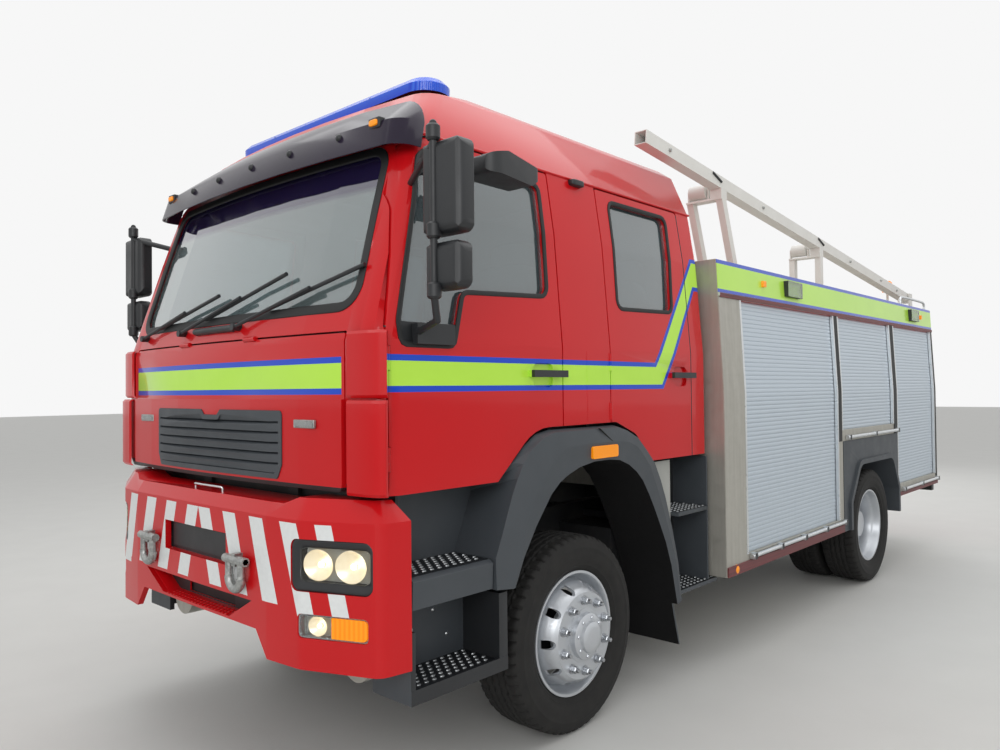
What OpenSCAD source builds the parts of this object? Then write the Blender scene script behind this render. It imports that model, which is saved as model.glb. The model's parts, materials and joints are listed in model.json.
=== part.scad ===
// Crew-cab 4x4 rescue pumper, real size in millimetres.
// X runs forward, Y to the vehicle's left, Z up. The floor is Z = 0 and the
// origin is under the middle of the vehicle's own box.
// Places along the length are mostly written from the front axle, as a
// chassis drawing gives them, and shifted once by front_axle_x.

/* [Overall] */
// Length from the bumper's nose to the rear tow jaw
overall_len = 7520; // [7500:5:7560]
// Bumper's nose ahead of the front axle
front_overhang = 1440; // [1436:1:1444]
// Distance between the axles
wheelbase = 4000; // [3990:2:4010]

/* [Wheels] */
// Tyre outside radius
tyre_r = 472; // [466:1:476]
// Tyre section width
tyre_w = 275; // [265:1:280]
// Rim radius at the bead
rim_r = 286; // [282:1:290]
// Rim width between the flanges
rim_w = 210; // [200:1:216]
// Front tyre's middle from the centre line
front_wheel_y = 958; // [950:1:962]
// Rear pair's middle from the centre line
rear_pair_y = 903; // [898:1:908]
// Distance between the middles of a pair of rear tyres
pair_pitch = 310; // [300:1:316]
// Number of wheel nuts
nut_count = 10; // [8:2:12]
// Radius of the wheel-nut circle
nut_circle_r = 167.5; // [160:0.5:172]
// Kingpin's distance from the centre line
kingpin_y = 900; // [895:1:905]
// Radius of the kingpin
kingpin_r = 26; // [22:1:30]
// Radius of the stub axles
stub_r = 42; // [38:1:46]

/* [Cab] */
// Cab half width at the doors
cab_half_w = 1120; // [1116:1:1124]
// Cab's rear wall behind the front axle
cab_rear = 1262; // [1256:1:1268]
// Underside of the cab
cab_bottom = 1262; // [1258:1:1270]
// Top of the cab's roof
cab_top = 3010; // [2990:5:3030]
// Thickness of the cab's walls and doors
cab_wall = 60; // [50:1:64]
// Bow of the cab's front in plan
cab_crown = 55; // [45:1:60]
// Gap round doors and flap
shut_gap = 8; // [7:0.5:9]
// Thickness of the glass
glass_t = 6; // [5:0.5:7]
// Clearance between a glass and its frame
glass_gap = 0.3; // [0.25:0.05:0.4]
// Radius of the knuckles of the door and flap hinges
hinge_r = 11; // [9:0.5:12]
// Radius of the pins of those hinges
hinge_pin_r = 6; // [4:0.5:7]
// Half width of the front flap
flap_half_w = 930; // [915:1:940]
// Top edge of the front flap
flap_top = 1882; // [1878:1:1886]
// Thickness of the front flap
flap_t = 36; // [30:1:38]
// Half width of the grille
grille_half_w = 566; // [540:1:580]
// Bottom of the grille
grille_low = 1298; // [1294:1:1310]
// Top of the grille
grille_high = 1580; // [1560:1:1590]
// Number of grille louvres
louvre_count = 6; // [5:1:7]

/* [Bumper] */
// Bumper half width
bumper_half_w = 1138; // [1130:1:1146]
// Underside of the bumper
bumper_low = 600; // [590:1:610]
// Top of the bumper's ends
bumper_high = 1245; // [1238:1:1250]
// Thickness of the bumper's skin
bumper_t = 28; // [24:1:32]

/* [Pump body] */
// Body half width at the lockers
body_half_w = 1212; // [1206:1:1218]
// Body half width at the roof
body_top_half_w = 1172; // [1168:1:1176]
// Height where the body's side starts to lean in
body_kink_z = 1614; // [1590:2:1640]
// Body's front face behind the front axle
body_front = 1300; // [1296:1:1306]
// Length of the pump body
body_len = 4704; // [4690:2:4716]
// Underside of the body
body_low = 519; // [510:1:526]
// Top of the body
body_high = 2432; // [2420:2:2444]
// Depth of the roof deck below the top edge
deck_drop = 50; // [40:1:60]
// Depth of the side lockers
locker_depth = 600; // [590:2:606]
// Top of the shutters
shutter_high = 2200; // [2190:2:2206]
// Height of one shutter slat
slat_pitch = 45; // [42:1:52]
// Depth of the groove between slats
slat_groove = 4; // [3:0.5:5]
// Thickness of a shutter
shutter_t = 14; // [12:1:16]
// Radius of a shutter's lift bar
bar_r = 13; // [11:1:15]

/* [Chassis] */
// Half width of the frame over its rails
frame_half_w = 425; // [415:1:430]
// Top of the frame rails
frame_high = 950; // [940:1:956]
// Height of the frame rails
rail_h = 250; // [240:1:256]
// Width of the rail flanges
rail_flange = 75; // [70:1:80]
// Thickness of the rails
rail_t = 9; // [8:0.5:11]
// Radius of the front axle tube
front_tube_r = 58; // [52:1:62]
// Radius of the rear axle tube
rear_tube_r = 70; // [64:1:74]
// Radius of the hole for the tow pin
tow_pin_r = 20; // [18:0.5:22]

/* [Roof rail] */
// Side of the square roof rail
rail_box = 80; // [76:1:84]
// Length of the roof rail
rail_len = 5260; // [5240:5:5280]
// Slope of the roof rail in degrees
rail_slope = 5.96; // [5.9:0.02:6.0]
// Outer face of the roof rail from the centre line
rail_outer_y = 985; // [975:1:990]

/* [Hidden] */

front_axle_x = overall_len / 2 - front_overhang;
rear_axle_x = front_axle_x - wheelbase;
body_x1 = front_axle_x - body_front;
body_x0 = body_x1 - body_len;
fit = 0.3;
big = 2 * overall_len;
red = [0.78, 0.07, 0.08];
dark = [0.16, 0.17, 0.19];
silver = [0.75, 0.77, 0.79];

// Point and outline helpers
function unit(v) = v / norm(v);
function wrap(a) = a - 360 * floor((a + 180) / 360);
function arc(c, r, a0, a1, n) =
    [for (i = [0:n]) let (a = a0 + (a1 - a0) * i / n) [c[0] + r * cos(a), c[1] + r * sin(a)]];
// One corner of an outline, rounded with radius r between its neighbours a and b
function corner(a, c, b, r, n) =
    let (u = unit(a - c), v = unit(b - c), half = acos(u * v) / 2,
        m = c + unit(u + v) * r / sin(half), t1 = c + u * r / tan(half), t2 = c + v * r / tan(half),
        a1 = atan2(t1[1] - m[1], t1[0] - m[0]), a2 = atan2(t2[1] - m[1], t2[0] - m[0]))
    arc(m, r, a1, a1 + wrap(a2 - a1), n);
function xy(p) = [p[0], p[1]];
// An outline of [x, y, corner radius] rows with its corners rounded
function rounded(p, n = 4) = [for (i = [0:len(p) - 1])
    let (c = p[i], a = p[(i + len(p) - 1) % len(p)], b = p[(i + 1) % len(p)])
    each (c[2] > 0 ? corner(xy(a), xy(c), xy(b), c[2], n) : [xy(c)])];
// An anticlockwise outline moved inwards by t, its radii kept
function inset(p, t) = [for (i = [0:len(p) - 1])
    let (c = xy(p[i]), a = xy(p[(i + len(p) - 1) % len(p)]), b = xy(p[(i + 1) % len(p)]),
        d1 = unit(c - a), d2 = unit(b - c), n1 = [-d1[1], d1[0]], n2 = [-d2[1], d2[0]],
        q = c + (n1 + n2) * t / (1 + n1 * n2))
    [q[0], q[1], p[i][2]]];
function from_axle(p) = [for (q = p) [q[0] + front_axle_x, q[1], q[2]]];
function box_outline(x0, x1, z0, z1, r) = [[x0, z0, r], [x1, z0, r], [x1, z1, r], [x0, z1, r]];

// Solids from outlines: drawn in side view, in front view, or a bar between two points
module side_prism(pts, y0, y1)
    translate([0, y1, 0]) rotate([90, 0, 0]) linear_extrude(height = y1 - y0) polygon(pts);
module front_prism(pts, x0, x1)
    translate([x0, 0, 0]) rotate([90, 0, 90]) linear_extrude(height = x1 - x0) polygon(pts);
module span(x, y, z)
    translate([x[0], y[0], z[0]]) cube([x[1] - x[0], y[1] - y[0], z[1] - z[0]]);
module bar(a, b, r, n = 24) {
    d = b - a;
    translate(a) rotate([0, acos(d[2] / norm(d)), atan2(d[1], d[0])])
        cylinder(h = norm(d), r = r, $fn = n);
}
module both() {
    children();
    mirror([0, 1, 0]) children();
}
module on_side(s) {
    if (s > 0) children();
    else mirror([0, 1, 0]) children();
}
// Turned about Y: local z points to the vehicle's left
module along_y() rotate([-90, 0, 0]) children();
module turned(p, n = 72) rotate_extrude($fn = n) polygon(p);
// A skin through sections, each a ring of as many points in space
module loft(s) {
    n = len(s[0]);
    m = len(s);
    polyhedron(points = [for (q = s) each q], faces = concat([[for (i = [0:n - 1]) i]],
        [[for (i = [n - 1:-1:0]) (m - 1) * n + i]],
        [for (j = [0:m - 2], i = [0:n - 1]) let (a = j * n + i, b = j * n + (i + 1) % n)
            each [[a, a + n, b + n], [a, b + n, b]]]));
}

// Cab sections, from the bottom up: height, front at the centre line from the
// front axle, half width, corner radius, share of the wall taken off the height
cab_lean_z = 1850;
cab_rows = [
    [cab_bottom, 1285, cab_half_w, 110, 1],
    [cab_bottom + 40, 1300, cab_half_w, 110, 1],
    [cab_lean_z, 1300, cab_half_w, 110, 0],
    [2390, 1135, cab_half_w - 44, 105, 0],
    [2661, 1050, cab_half_w - 86, 100, 0],
    [2706, 1022, cab_half_w - 94, 100, 0],
    [cab_top - 65, 865, cab_half_w - 198, 110, -0.7],
    [cab_top - 1, 640, cab_half_w - 290, 120, -1]];
// Plan outline of the cab at one section, moved inwards by t
function cab_plan(row, t) =
    let (xf = front_axle_x + row[1] - t, hw = row[2] - t, rc = max(row[3] - t, 20),
        xr = front_axle_x - cab_rear + t * 0.8, rr = 40, s = hw - rc, xc = xf - cab_crown - rc)
    concat([for (i = [-3:3]) [xf - cab_crown * pow(i / 3, 2), s * i / 3]],
        arc([xc, s], rc, 15, 90, 4),
        arc([xr + rr, hw - rr], rr, 90, 180, 2),
        arc([xr + rr, rr - hw], rr, 180, 270, 2),
        arc([xc, -s], rc, 270, 345, 4));
module cab_form(t) hull() for (row = cab_rows)
    translate([0, 0, row[0] + row[4] * t]) linear_extrude(height = 1) polygon(cab_plan(row, t));
module cab_skin(outer, inner) difference() {
    cab_form(outer);
    cab_form(inner);
}

// Cab outlines in side view, from the front axle, anticlockwise: x, z, radius
arch_cut = from_axle([[594, cab_bottom, 0], [345, 1481, 280], [-300, 1485, 60], [-480, 1416, 100],
    [-645, cab_bottom, 0], [-645, cab_bottom - 200, 0], [594, cab_bottom - 200, 0]]);
front_door = from_axle([[1180, cab_bottom - 20, 0], [1182, 1900, 30], [1012, 2640, 40],
    [940, 2690, 20], [142, 2690, 12], [142, 1482, 0], [345, 1481, 272], [594, 1262, 30],
    [602, cab_bottom - 20, 0]]);
rear_door = from_axle([[-258, 2690, 12], [-1072, 2690, 20], [-1072, cab_bottom - 20, 0],
    [-645, cab_bottom - 20, 0], [-645, cab_bottom, 0], [-480, 1416, 100], [-300, 1485, 60],
    [-258, 1485, 0]]);
front_window = from_axle([[1128, 1835, 30], [1134, 1925, 20], [968, 2600, 40], [920, 2636, 30],
    [212, 2620, 40], [226, 2087, 50], [780, 2062, 40], [850, 1835, 30]]);
rear_window = from_axle([[-366, 2640, 45], [-944, 2640, 45], [-900, 2085, 45], [-352, 2070, 45]]);
// Outlines in front view, anticlockwise: y, z, radius
screen_outline = [[-948, 1985, 90], [948, 1985, 90], [902, 2652, 80], [-902, 2652, 80]];
flap_outline = [[-flap_half_w, cab_bottom + 8, 30], [flap_half_w, cab_bottom + 8, 30],
    [flap_half_w, flap_top, 12], [-flap_half_w, flap_top, 12]];
grille_half = [[grille_half_w - 30, grille_low, 20], [grille_half_w, grille_low + 60, 20],
    [grille_half_w, grille_high, 20], [88, grille_high, 10], [60, grille_high - 24, 10]];
grille_outline = concat(grille_half,
    [for (i = [4:-1:0]) [-grille_half[i][0], grille_half[i][1], grille_half[i][2]]]);

module arch_void(grow) side_prism(rounded(inset(arch_cut, -grow), 5), -big / 2, big / 2);

// Flange that a door closes against: behind its edge as far forward as x1, and let into the
// wall round it
module door_flange(outline, x1) {
    both() intersection() {
        cab_skin(cab_wall - 1, cab_wall + 16);
        difference() {
            side_prism(rounded(inset(outline, -30), 4), cab_half_w - 172, cab_half_w);
            side_prism(rounded(inset(outline, -shut_gap), 4), cab_half_w - 190, cab_half_w + 20);
        }
    }
    both() intersection() {
        cab_skin(cab_wall + fit, cab_wall + 16);
        span([0, front_axle_x + x1], [0, big], [0, big]);
        difference() {
            side_prism(rounded(inset(outline, -shut_gap - 1), 4), cab_half_w - 172, cab_half_w);
            side_prism(rounded(inset(outline, 18), 4), cab_half_w - 190, cab_half_w + 20);
        }
    }
}
// Hinge pins: x from the front axle, y, then the middles of their knuckles in height
front_hinge = [1186, cab_half_w - 12, [1400, 1780]];
rear_hinge = [-254, cab_half_w - 2, [1540, 1790]];
hinge_rows = [front_hinge, rear_hinge];
knuckle_h = 30;
module at_hinge(h) for (z = h[2]) translate([front_axle_x + h[0], h[1], z]) children();
// The outer knuckles with the pin through them, the middle one, and the room they turn in
module outer_knuckles() {
    for (z = [knuckle_h / 2 + fit, -knuckle_h * 1.5]) translate([0, 0, z])
        cylinder(h = knuckle_h - fit, r = hinge_r, $fn = 32);
    translate([0, 0, -knuckle_h * 1.5]) cylinder(h = knuckle_h * 3, r = hinge_pin_r, $fn = 24);
}
module middle_knuckle() translate([0, 0, -knuckle_h / 2])
    cylinder(h = knuckle_h, r = hinge_r, $fn = 32);
module pin_bore() translate([0, 0, -knuckle_h])
    cylinder(h = knuckle_h * 2, r = hinge_pin_r + fit, $fn = 24);
module middle_room() translate([0, 0, -knuckle_h / 2 - 2])
    cylinder(h = knuckle_h + 4, r = hinge_r + 1.5, $fn = 32);
module outer_room() for (z = [knuckle_h / 2, -knuckle_h * 1.5 - 2]) translate([0, 0, z])
    cylinder(h = knuckle_h + 2, r = hinge_r + 1.5, $fn = 32);
// The flap's hinge lies across the cab over its top edge
module at_flap_hinge() for (y = [-300, 300])
    translate([front_axle_x + 1286, y, flap_top + shut_gap / 2]) rotate([90, 0, 0]) children();
module cab_shell() color(red) {
    difference() {
        cab_walls();
        both() for (h = hinge_rows) at_hinge(h) middle_room();
        at_flap_hinge() middle_room();
    }
    both() for (h = hinge_rows) at_hinge(h) outer_knuckles();
    at_flap_hinge() outer_knuckles();
    difference() {
        door_flange(front_door, 860);
        door_flange(rear_door, 0);
        arch_void(0);
        span([0, big], [-big, big], [0, cab_bottom + 1]);
        both() side_prism(rounded(rear_window, 4), cab_half_w - 400, cab_half_w + 60);
    }
}
module cab_walls() difference() {
    cab_form(0);
    arch_void(0);
    difference() {
        cab_form(cab_wall);
        arch_void(cab_wall);
    }
    both() for (d = [front_door, rear_door])
        door_room(inset(d, -shut_gap), cab_half_w - cab_wall - shut_gap);
    front_prism(rounded(screen_outline, 5), front_axle_x + 800, front_axle_x + 1400);
    intersection() {
        front_prism(rounded(inset(flap_outline, -shut_gap)), front_axle_x + 1190,
            front_axle_x + 1500);
        difference() {
            span([front_axle_x + 1000, front_axle_x + 1500], [-big / 2, big / 2], [0, big]);
            cab_form(flap_t + shut_gap);
        }
    }
}

// Room of a door: from y0 outwards where the side is upright, deeper where it leans in
module door_room(outline, y0) difference() {
    side_prism(rounded(outline, 4), cab_half_w - 180, cab_half_w + 50);
    span([0, big], [0, y0], [0, cab_lean_z]);
}
// One door: the cab's own wall inside the door's outline, with its window cut
module door(outline, window, hinge, pocket) color(red) difference() {
    union() {
        intersection() {
            cab_skin(0, cab_wall);
            difference() {
                door_room(outline, cab_half_w - cab_wall);
                side_prism(rounded(window, 4), cab_half_w - 300, cab_half_w + 60);
            }
        }
        at_hinge(hinge) middle_knuckle();
    }
    at_hinge(hinge) outer_room();
    at_hinge(hinge) pin_bore();
    side_prism(rounded(pocket), cab_half_w - 14, cab_half_w + 50);
}
module pane(window) color([0.5, 0.56, 0.58]) intersection() {
    cab_skin(cab_wall * 0.4, cab_wall * 0.4 + glass_t);
    side_prism(rounded(inset(window, glass_gap), 4), cab_half_w - 300, cab_half_w + 60);
}
// Pocket for the fingers behind a pull handle, and the handle
function handle_pocket(x) = from_axle(box_outline(x - 71, x + 71, 1665, 1775, 30));
module handle(x, z) color(dark) {
    span([x - 122, x + 122], [cab_half_w + 22, cab_half_w + 40], [z - 16, z + 16]);
    for (dx = [-117, 95]) span([x + dx, x + dx + 22], [cab_half_w - 5, cab_half_w + 30],
        [z - 14, z + 14]);
}
module front_door_piece(s) on_side(s) {
    door(front_door, front_window, front_hinge, handle_pocket(282));
    handle(front_axle_x + 268, 1727);
}
module rear_door_piece(s) on_side(s) {
    door(rear_door, rear_window, rear_hinge, handle_pocket(-950));
    handle(front_axle_x - 946, 1727);
}

module windscreen() color([0.6, 0.68, 0.7]) intersection() {
    cab_skin(14, 14 + glass_t);
    front_prism(rounded(inset(screen_outline, glass_gap), 5), front_axle_x + 800,
        front_axle_x + 1400);
}

// Front flap with the cut-out for the grille; its lower part stands proud up to a ledge
ledge_z = 1626;
ledge_t = 14;
module front_flap() color(red) difference() {
    union() {
        intersection() {
            union() {
                cab_skin(0, flap_t);
                intersection() {
                    cab_skin(-ledge_t, 10);
                    span([0, big], [-big / 2, big / 2], [0, ledge_z]);
                }
            }
            front_prism(rounded(flap_outline), front_axle_x + 1198, front_axle_x + 1500);
        }
        at_flap_hinge() middle_knuckle();
    }
    front_prism(rounded(grille_outline), front_axle_x + 1000, front_axle_x + 1500);
    at_flap_hinge() outer_room();
    at_flap_hinge() pin_bore();
}
module grille() color(dark) intersection() {
    cab_skin(-ledge_t - 5, 20);
    front_prism(rounded(inset(grille_outline, fit)), front_axle_x + 1000, front_axle_x + 1500);
    union() {
        difference() {
            span([0, big], [-big / 2, big / 2], [0, big]);
            front_prism(rounded(inset(grille_outline, 22)), 0, big);
        }
        for (i = [0:louvre_count]) let (z = grille_low + 14 + (grille_high - grille_low - 28)
            * i / louvre_count)
            translate([front_axle_x + 1270, 0, z]) rotate([0, 24, 0])
                cube([90, grille_half_w * 2, 30], center = true);
    }
}

// Smoked visor over the windscreen: rows are height, front, half width
visor_rows = [[2632, 1150, cab_half_w - 62], [2744, 1118, cab_half_w - 74],
    [2905, 912, cab_half_w - 148]];
module visor_form(t) hull() for (row = visor_rows)
    translate([0, 0, row[0]]) linear_extrude(height = 1)
        polygon(cab_plan([0, row[1] - t, row[2] - t, 100], 0));
module sun_visor() color([0.2, 0.17, 0.22]) {
    visor_sheet();
    intersection() {
        for (y = [-800, -300, 300, 800]) span([0, big], [y - 9, y + 9], [2715, 2727]);
        visor_form(3);
        difference() {
            span([front_axle_x + 700, front_axle_x + 1300], [-big, big], [0, big]);
            cab_form(0);
        }
    }
}
module visor_sheet() difference() {
    visor_form(0);
    visor_form(6);
    side_prism([for (p = [[1000, 2500], [830, 3100], [-2000, 3100], [-2000, 2500]])
        [p[0] + front_axle_x, p[1]]], -big / 2, big / 2);
}

// Blue light bar on feet at the front of the roof
bar_y = 700;
module light_bar() color([0.1, 0.3, 0.8]) translate([front_axle_x + 610, 0, cab_top]) {
    hull() for (y = [-bar_y, bar_y]) for (h = [[4, 110], [44, 112], [72, 84]])
        translate([0, y, h[0]]) cylinder(h = 1, r = h[1], $fn = 32);
    for (y = [-500, 500]) translate([-100, y - 30, 0]) cube([120, 60, 24]);
}

// Height and place of the windscreen's outer face, for what lies on it
function screen_x(y, z) = front_axle_x + 1300 - (z - 1850) * 165 / 540
    - cab_crown * pow(y / (cab_half_w - 150), 2);
function on_screen(y, z, off) = [screen_x(y, z) + off, y, z];
// Three wipers: pivot across, blade's foot and tip as across and height
wiper_table = [[-838, [-640, 1990], [-60, 2110]], [-340, [-120, 2000], [470, 2160]],
    [185, [400, 2010], [960, 2150]]];
module wipers() color(dark) difference() {
    wiper_set();
    cab_form(-fit);
}
module wiper_set() for (w = wiper_table) {
    mid = (w[1] + w[2]) / 2;
    bar([screen_x(w[0], 1945) - 20, w[0], 1945], on_screen(w[0], 1945, 42), 16);
    bar(on_screen(w[0], 1945, 30), on_screen(mid[0], mid[1], 34), 8);
    bar(on_screen(w[1][0], w[1][1], 18), on_screen(w[2][0], w[2][1], 18), 9);
}

floor_z = cab_bottom + cab_wall;
seat_z = 1484 + cab_wall;
module seat(x, y, w) translate([x, y - w / 2, seat_z]) {
    side_prism(rounded([[-150, 0, 0], [480, 0, 40], [500, 130, 45], [-40, 120, 0],
        [-170, 760, 40], [-270, 760, 35]]), 0, w);
}
module crew_seats() color([0.2, 0.22, 0.26]) {
    for (y = [-620, 560]) seat(front_axle_x + 60, y, 520);
    seat(front_axle_x - 890, 0, 1760);
    span([front_axle_x - 960, front_axle_x - 720], [-800, 800], [floor_z, seat_z]);
}
dash_side = [[880, floor_z + 480, 60], [1160, floor_z + 300, 20], [1200, 1900, 40],
    [900, 1925, 60], [820, 1800, 50]];
module dashboard() color(dark) intersection() {
    side_prism(rounded(from_axle(dash_side)), -935, 935);
    cab_form(cab_wall + fit);
}
module steering_rim() color(dark) translate([front_axle_x + 720, -600, 1880])
    rotate([0, -28, 0]) {
    rotate_extrude($fn = 48) translate([225, 0]) circle(r = 16, $fn = 16);
    for (a = [90, 210, 330]) rotate([0, 0, a]) translate([0, -18, -12]) cube([222, 36, 20]);
    translate([0, 0, -30]) cylinder(h = 44, r = 50, $fn = 32);
}
module steering_column() color(dark) difference() {
    translate([front_axle_x + 720, -600, 1880]) rotate([0, -28, 0]) translate([0, 0, -700])
        cylinder(h = 690, r = 30, $fn = 32);
    span([0, big], [-big, 0], [0, floor_z]);
}

// Mirrors and arms on a front door: arm points as x from the front axle, distance outside
// the door's face, z
mirror_arm = [[1050, -25, 1870], [1080, 150, 1915], [1121, 180, 2000], [1121, 180, 2634],
    [1121, 180, 2560], [985, -120, 2470]];
// Housings: x, distance outside the door and z of the middle, then size along each
mirror_rows = [[1082, 210, 2400, 80, 210, 345], [1080, 210, 2112, 75, 188, 177]];
function arm_point(p) = [p[0] + front_axle_x, p[1] + cab_half_w, p[2]];
// A housing with a flat back and a rounded front
module housing(x, y, z, r) intersection() {
    front_prism(rounded(box_outline(-y / 2, y / 2, -z / 2, z / 2, r)), -x / 2, x / 2);
    side_prism(rounded([[-x / 2, -z / 2, 8], [x / 2, -z / 2, 34], [x / 2, z / 2, 34],
        [-x / 2, z / 2, 8]]), -y, y);
    translate([0, 0, -z]) linear_extrude(height = 2 * z) polygon(rounded([[-x / 2, -y / 2, 8],
        [x / 2, -y / 2, 34], [x / 2, y / 2, 34], [-x / 2, y / 2, 8]]));
}
module mirror_set() color(dark) {
    difference() {
        union() {
            for (i = [0:len(mirror_arm) - 2]) bar(arm_point(mirror_arm[i]),
                arm_point(mirror_arm[i + 1]), 14);
            for (i = [1, 2, 3]) translate(arm_point(mirror_arm[i])) sphere(r = 14, $fn = 24);
            span([front_axle_x + 870, front_axle_x + 1070], [cab_half_w - 30, cab_half_w + 30],
                [1836, 1915]);
        }
        cab_form(0);
    }
    for (m = mirror_rows) translate([m[0] + front_axle_x, m[1] + cab_half_w, m[2]])
        housing(m[3], m[4], m[5], 45);
}
// Kerb mirror: plan as x from the front axle and distance outside the door, and side view
kerb_plan = from_axle([[575, 130, 40], [905, 95, 60], [905, 275, 60], [575, 240, 40]]);
kerb_side = from_axle([[575, 2520, 16], [640, 2478, 30], [905, 2490, 30], [905, 2560, 30],
    [800, 2584, 40], [575, 2556, 16]]);
module kerb_mirror() color(dark) {
    intersection() {
        translate([0, cab_half_w, 2400]) linear_extrude(height = 300) polygon(rounded(kerb_plan));
        side_prism(rounded(kerb_side), cab_half_w, cab_half_w + 400);
    }
    difference() {
        bar(arm_point([985, -120, 2530]), arm_point([880, 180, 2530]), 12);
        cab_form(0);
    }
}

// Bumper in plan from the front axle: x, y, radius; the left half, then mirrored
bumper_half = [[1397, 0, 0], [1392, 600, 150], [1372, 800, 120], [1235, bumper_half_w - 20, 70],
    [1100, bumper_half_w, 0]];
bumper_plan = concat([for (i = [len(bumper_half) - 1:-1:1])
        [bumper_half[i][0] + front_axle_x, -bumper_half[i][1], bumper_half[i][2]]],
    [for (p = bumper_half) [p[0] + front_axle_x, p[1], p[2]]]);
module bumper_form(t, z0, z1) translate([0, 0, z0]) linear_extrude(height = z1 - z0)
    polygon(rounded(inset(bumper_plan, t), 4));
// The bumper's outside: upright, then its top edge bevelled back
bevel_z = 1165;
bevel_back = 48;
module bumper_block(t, z0, z1) {
    bumper_form(t, z0, bevel_z);
    hull() {
        bumper_form(t, bevel_z - 1, bevel_z);
        bumper_form(t + bevel_back, z1 - 1, z1);
    }
}
// Lamp openings in the bumper, in front view: y0, y1, z0, z1, corner radius
lamp_rows = [[752, 1090, 896, 1094, 34], [790, 1072, 721, 812, 18]];
module lamp_cut(grow) both() for (l = lamp_rows)
    front_prism(rounded(box_outline(l[0] - grow, l[1] + grow, l[2] - grow, l[3] + grow, l[4])),
        front_axle_x + 1160 - grow, front_axle_x + 1450);
// Shelf over the middle of the bumper, lower than its ends
shelf_z = 1217;
bumper_face = front_axle_x + 1372;
module front_bumper() color(red) {
    difference() {
        bumper_block(0, bumper_low, bumper_high);
        difference() {
            translate([-0.01, 0, 0]) bumper_block(bumper_t, bumper_low - 1, bumper_high - 24);
            span([0, big], [-850, 850], [shelf_z - 24, big]);
        }
        span([front_axle_x, front_axle_x + 1190], [-1000, 1000], [0, big]);
        front_prism([[-672, shelf_z], [672, shelf_z], [800, shelf_z + 50], [-800, shelf_z + 50]],
            front_axle_x + 1000, front_axle_x + 1500);
        lamp_cut(0.5);
        front_prism(rounded([[-640, bumper_low - 50, 0], [640, bumper_low - 50, 0],
            [520, 704, 0], [-520, 704, 0]]), front_axle_x + 1000, front_axle_x + 1500);
        span([bumper_face - 80, bumper_face + 100], [-285, 285], [926, 1060]);
        front_prism([[-310, 716], [310, 716], [490, 811], [-490, 811]], bumper_face - 80,
            bumper_face + 100);
    }
    // Panel behind the number plate's recess, and the sloping scoop over the lower step
    span([bumper_face - 22, bumper_face - 14], [-293, 293], [918, 1068]);
    for (z = [918, 1060]) span([bumper_face - 22, bumper_face], [-293, 293], [z, z + 8]);
    difference() {
        front_prism([[-318, 704], [318, 704], [500, 820], [-500, 820]], bumper_face - 70,
            bumper_face - 2);
        front_prism([[-306, 716], [306, 716], [486, 811], [-486, 811]], bumper_face - 62,
            bumper_face);
        span([bumper_face - 80, bumper_face], [-210, 210], [722, 806]);
    }
    both() span([front_axle_x + 1150 + fit, front_axle_x + 1190], [350, 425], [760, 1180]);
    both() span([front_axle_x + 1190, bumper_face], [350, 425], [822, 860]);
}
module headlamps() color([0.82, 0.85, 0.88]) intersection() {
    difference() {
        bumper_form(4, 700, 1150);
        bumper_form(50, 699, 1151);
    }
    lamp_cut(0);
}
// Bow shackles hanging from the pins of the two front lugs
module tow_shackles() color(silver) both() translate([front_axle_x + 1421, 410, 970]) {
    bow_r = 48;
    translate([0, 0, -70]) difference() {
        rotate([0, 90, 0]) rotate_extrude($fn = 40) translate([bow_r, 0]) circle(r = 19, $fn = 20);
        translate([-30, -100, 0]) cube([60, 200, 100]);
    }
    for (y = [-bow_r, bow_r]) bar([0, y, -80], [0, y, 14], 16, 32);
    bar([0, -80, 0], [0, 84, 0], 18, 32);
    span([-27, 10], [-14, 14], [-26, 26]);
}

// Front arch panel: stations round the arch from the entry step to the mudflap. Each gives
// the edge against the cab as x, y, z, then the ridge, the crease and the lip as x, z
flare_y = [1150, 1160, 1156];
flare_rows = [
    [[645, 905, 815], [640, 815], [545, 805], [530, 805]],
    [[648, 905, 949], [645, 949], [490, 930], [470, 925]],
    [[605, 905, 1050], [600, 1050], [458, 1050], [385, 1050]],
    [[540, 905, 1205], [535, 1205], [377, 1201], [275, 1180]],
    [[540, 1000, 1252], [501, 1268], [330, 1255], [235, 1210]],
    [[492, 1108, 1336], [462, 1330], [300, 1290], [215, 1225]],
    [[422, 1108, 1397], [405, 1388], [255, 1330], [165, 1250]],
    [[334, 1108, 1452], [320, 1436], [215, 1358], [125, 1264]],
    [[238, 1108, 1469], [238, 1458], [150, 1385], [60, 1285]],
    [[-42, 1108, 1469], [-42, 1460], [-42, 1393], [-60, 1303]],
    [[-186, 1108, 1469], [-186, 1460], [-186, 1392], [-186, 1303]],
    [[-280, 1108, 1470], [-278, 1460], [-290, 1388], [-277, 1294]],
    [[-357, 1108, 1450], [-352, 1440], [-362, 1380], [-360, 1264]],
    [[-463, 1108, 1409], [-455, 1398], [-440, 1350], [-430, 1222]],
    [[-548, 1108, 1336], [-538, 1328], [-500, 1298], [-488, 1172]],
    [[-626, 1108, 1263], [-616, 1255], [-557, 1239], [-545, 1095]],
    [[-684, 1112, 1160], [-675, 1157], [-612, 1140], [-597, 1015]],
    [[-732, 1112, 1058], [-723, 1055], [-660, 1045], [-655, 915]],
    [[-800, 1112, 872], [-791, 871], [-742, 868], [-710, 815]],
    [[-857, 1112, 684], [-849, 684], [-812, 690], [-765, 680]],
    [[-888, 1112, 472], [-881, 470], [-852, 462], [-823, 455]]];
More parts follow.
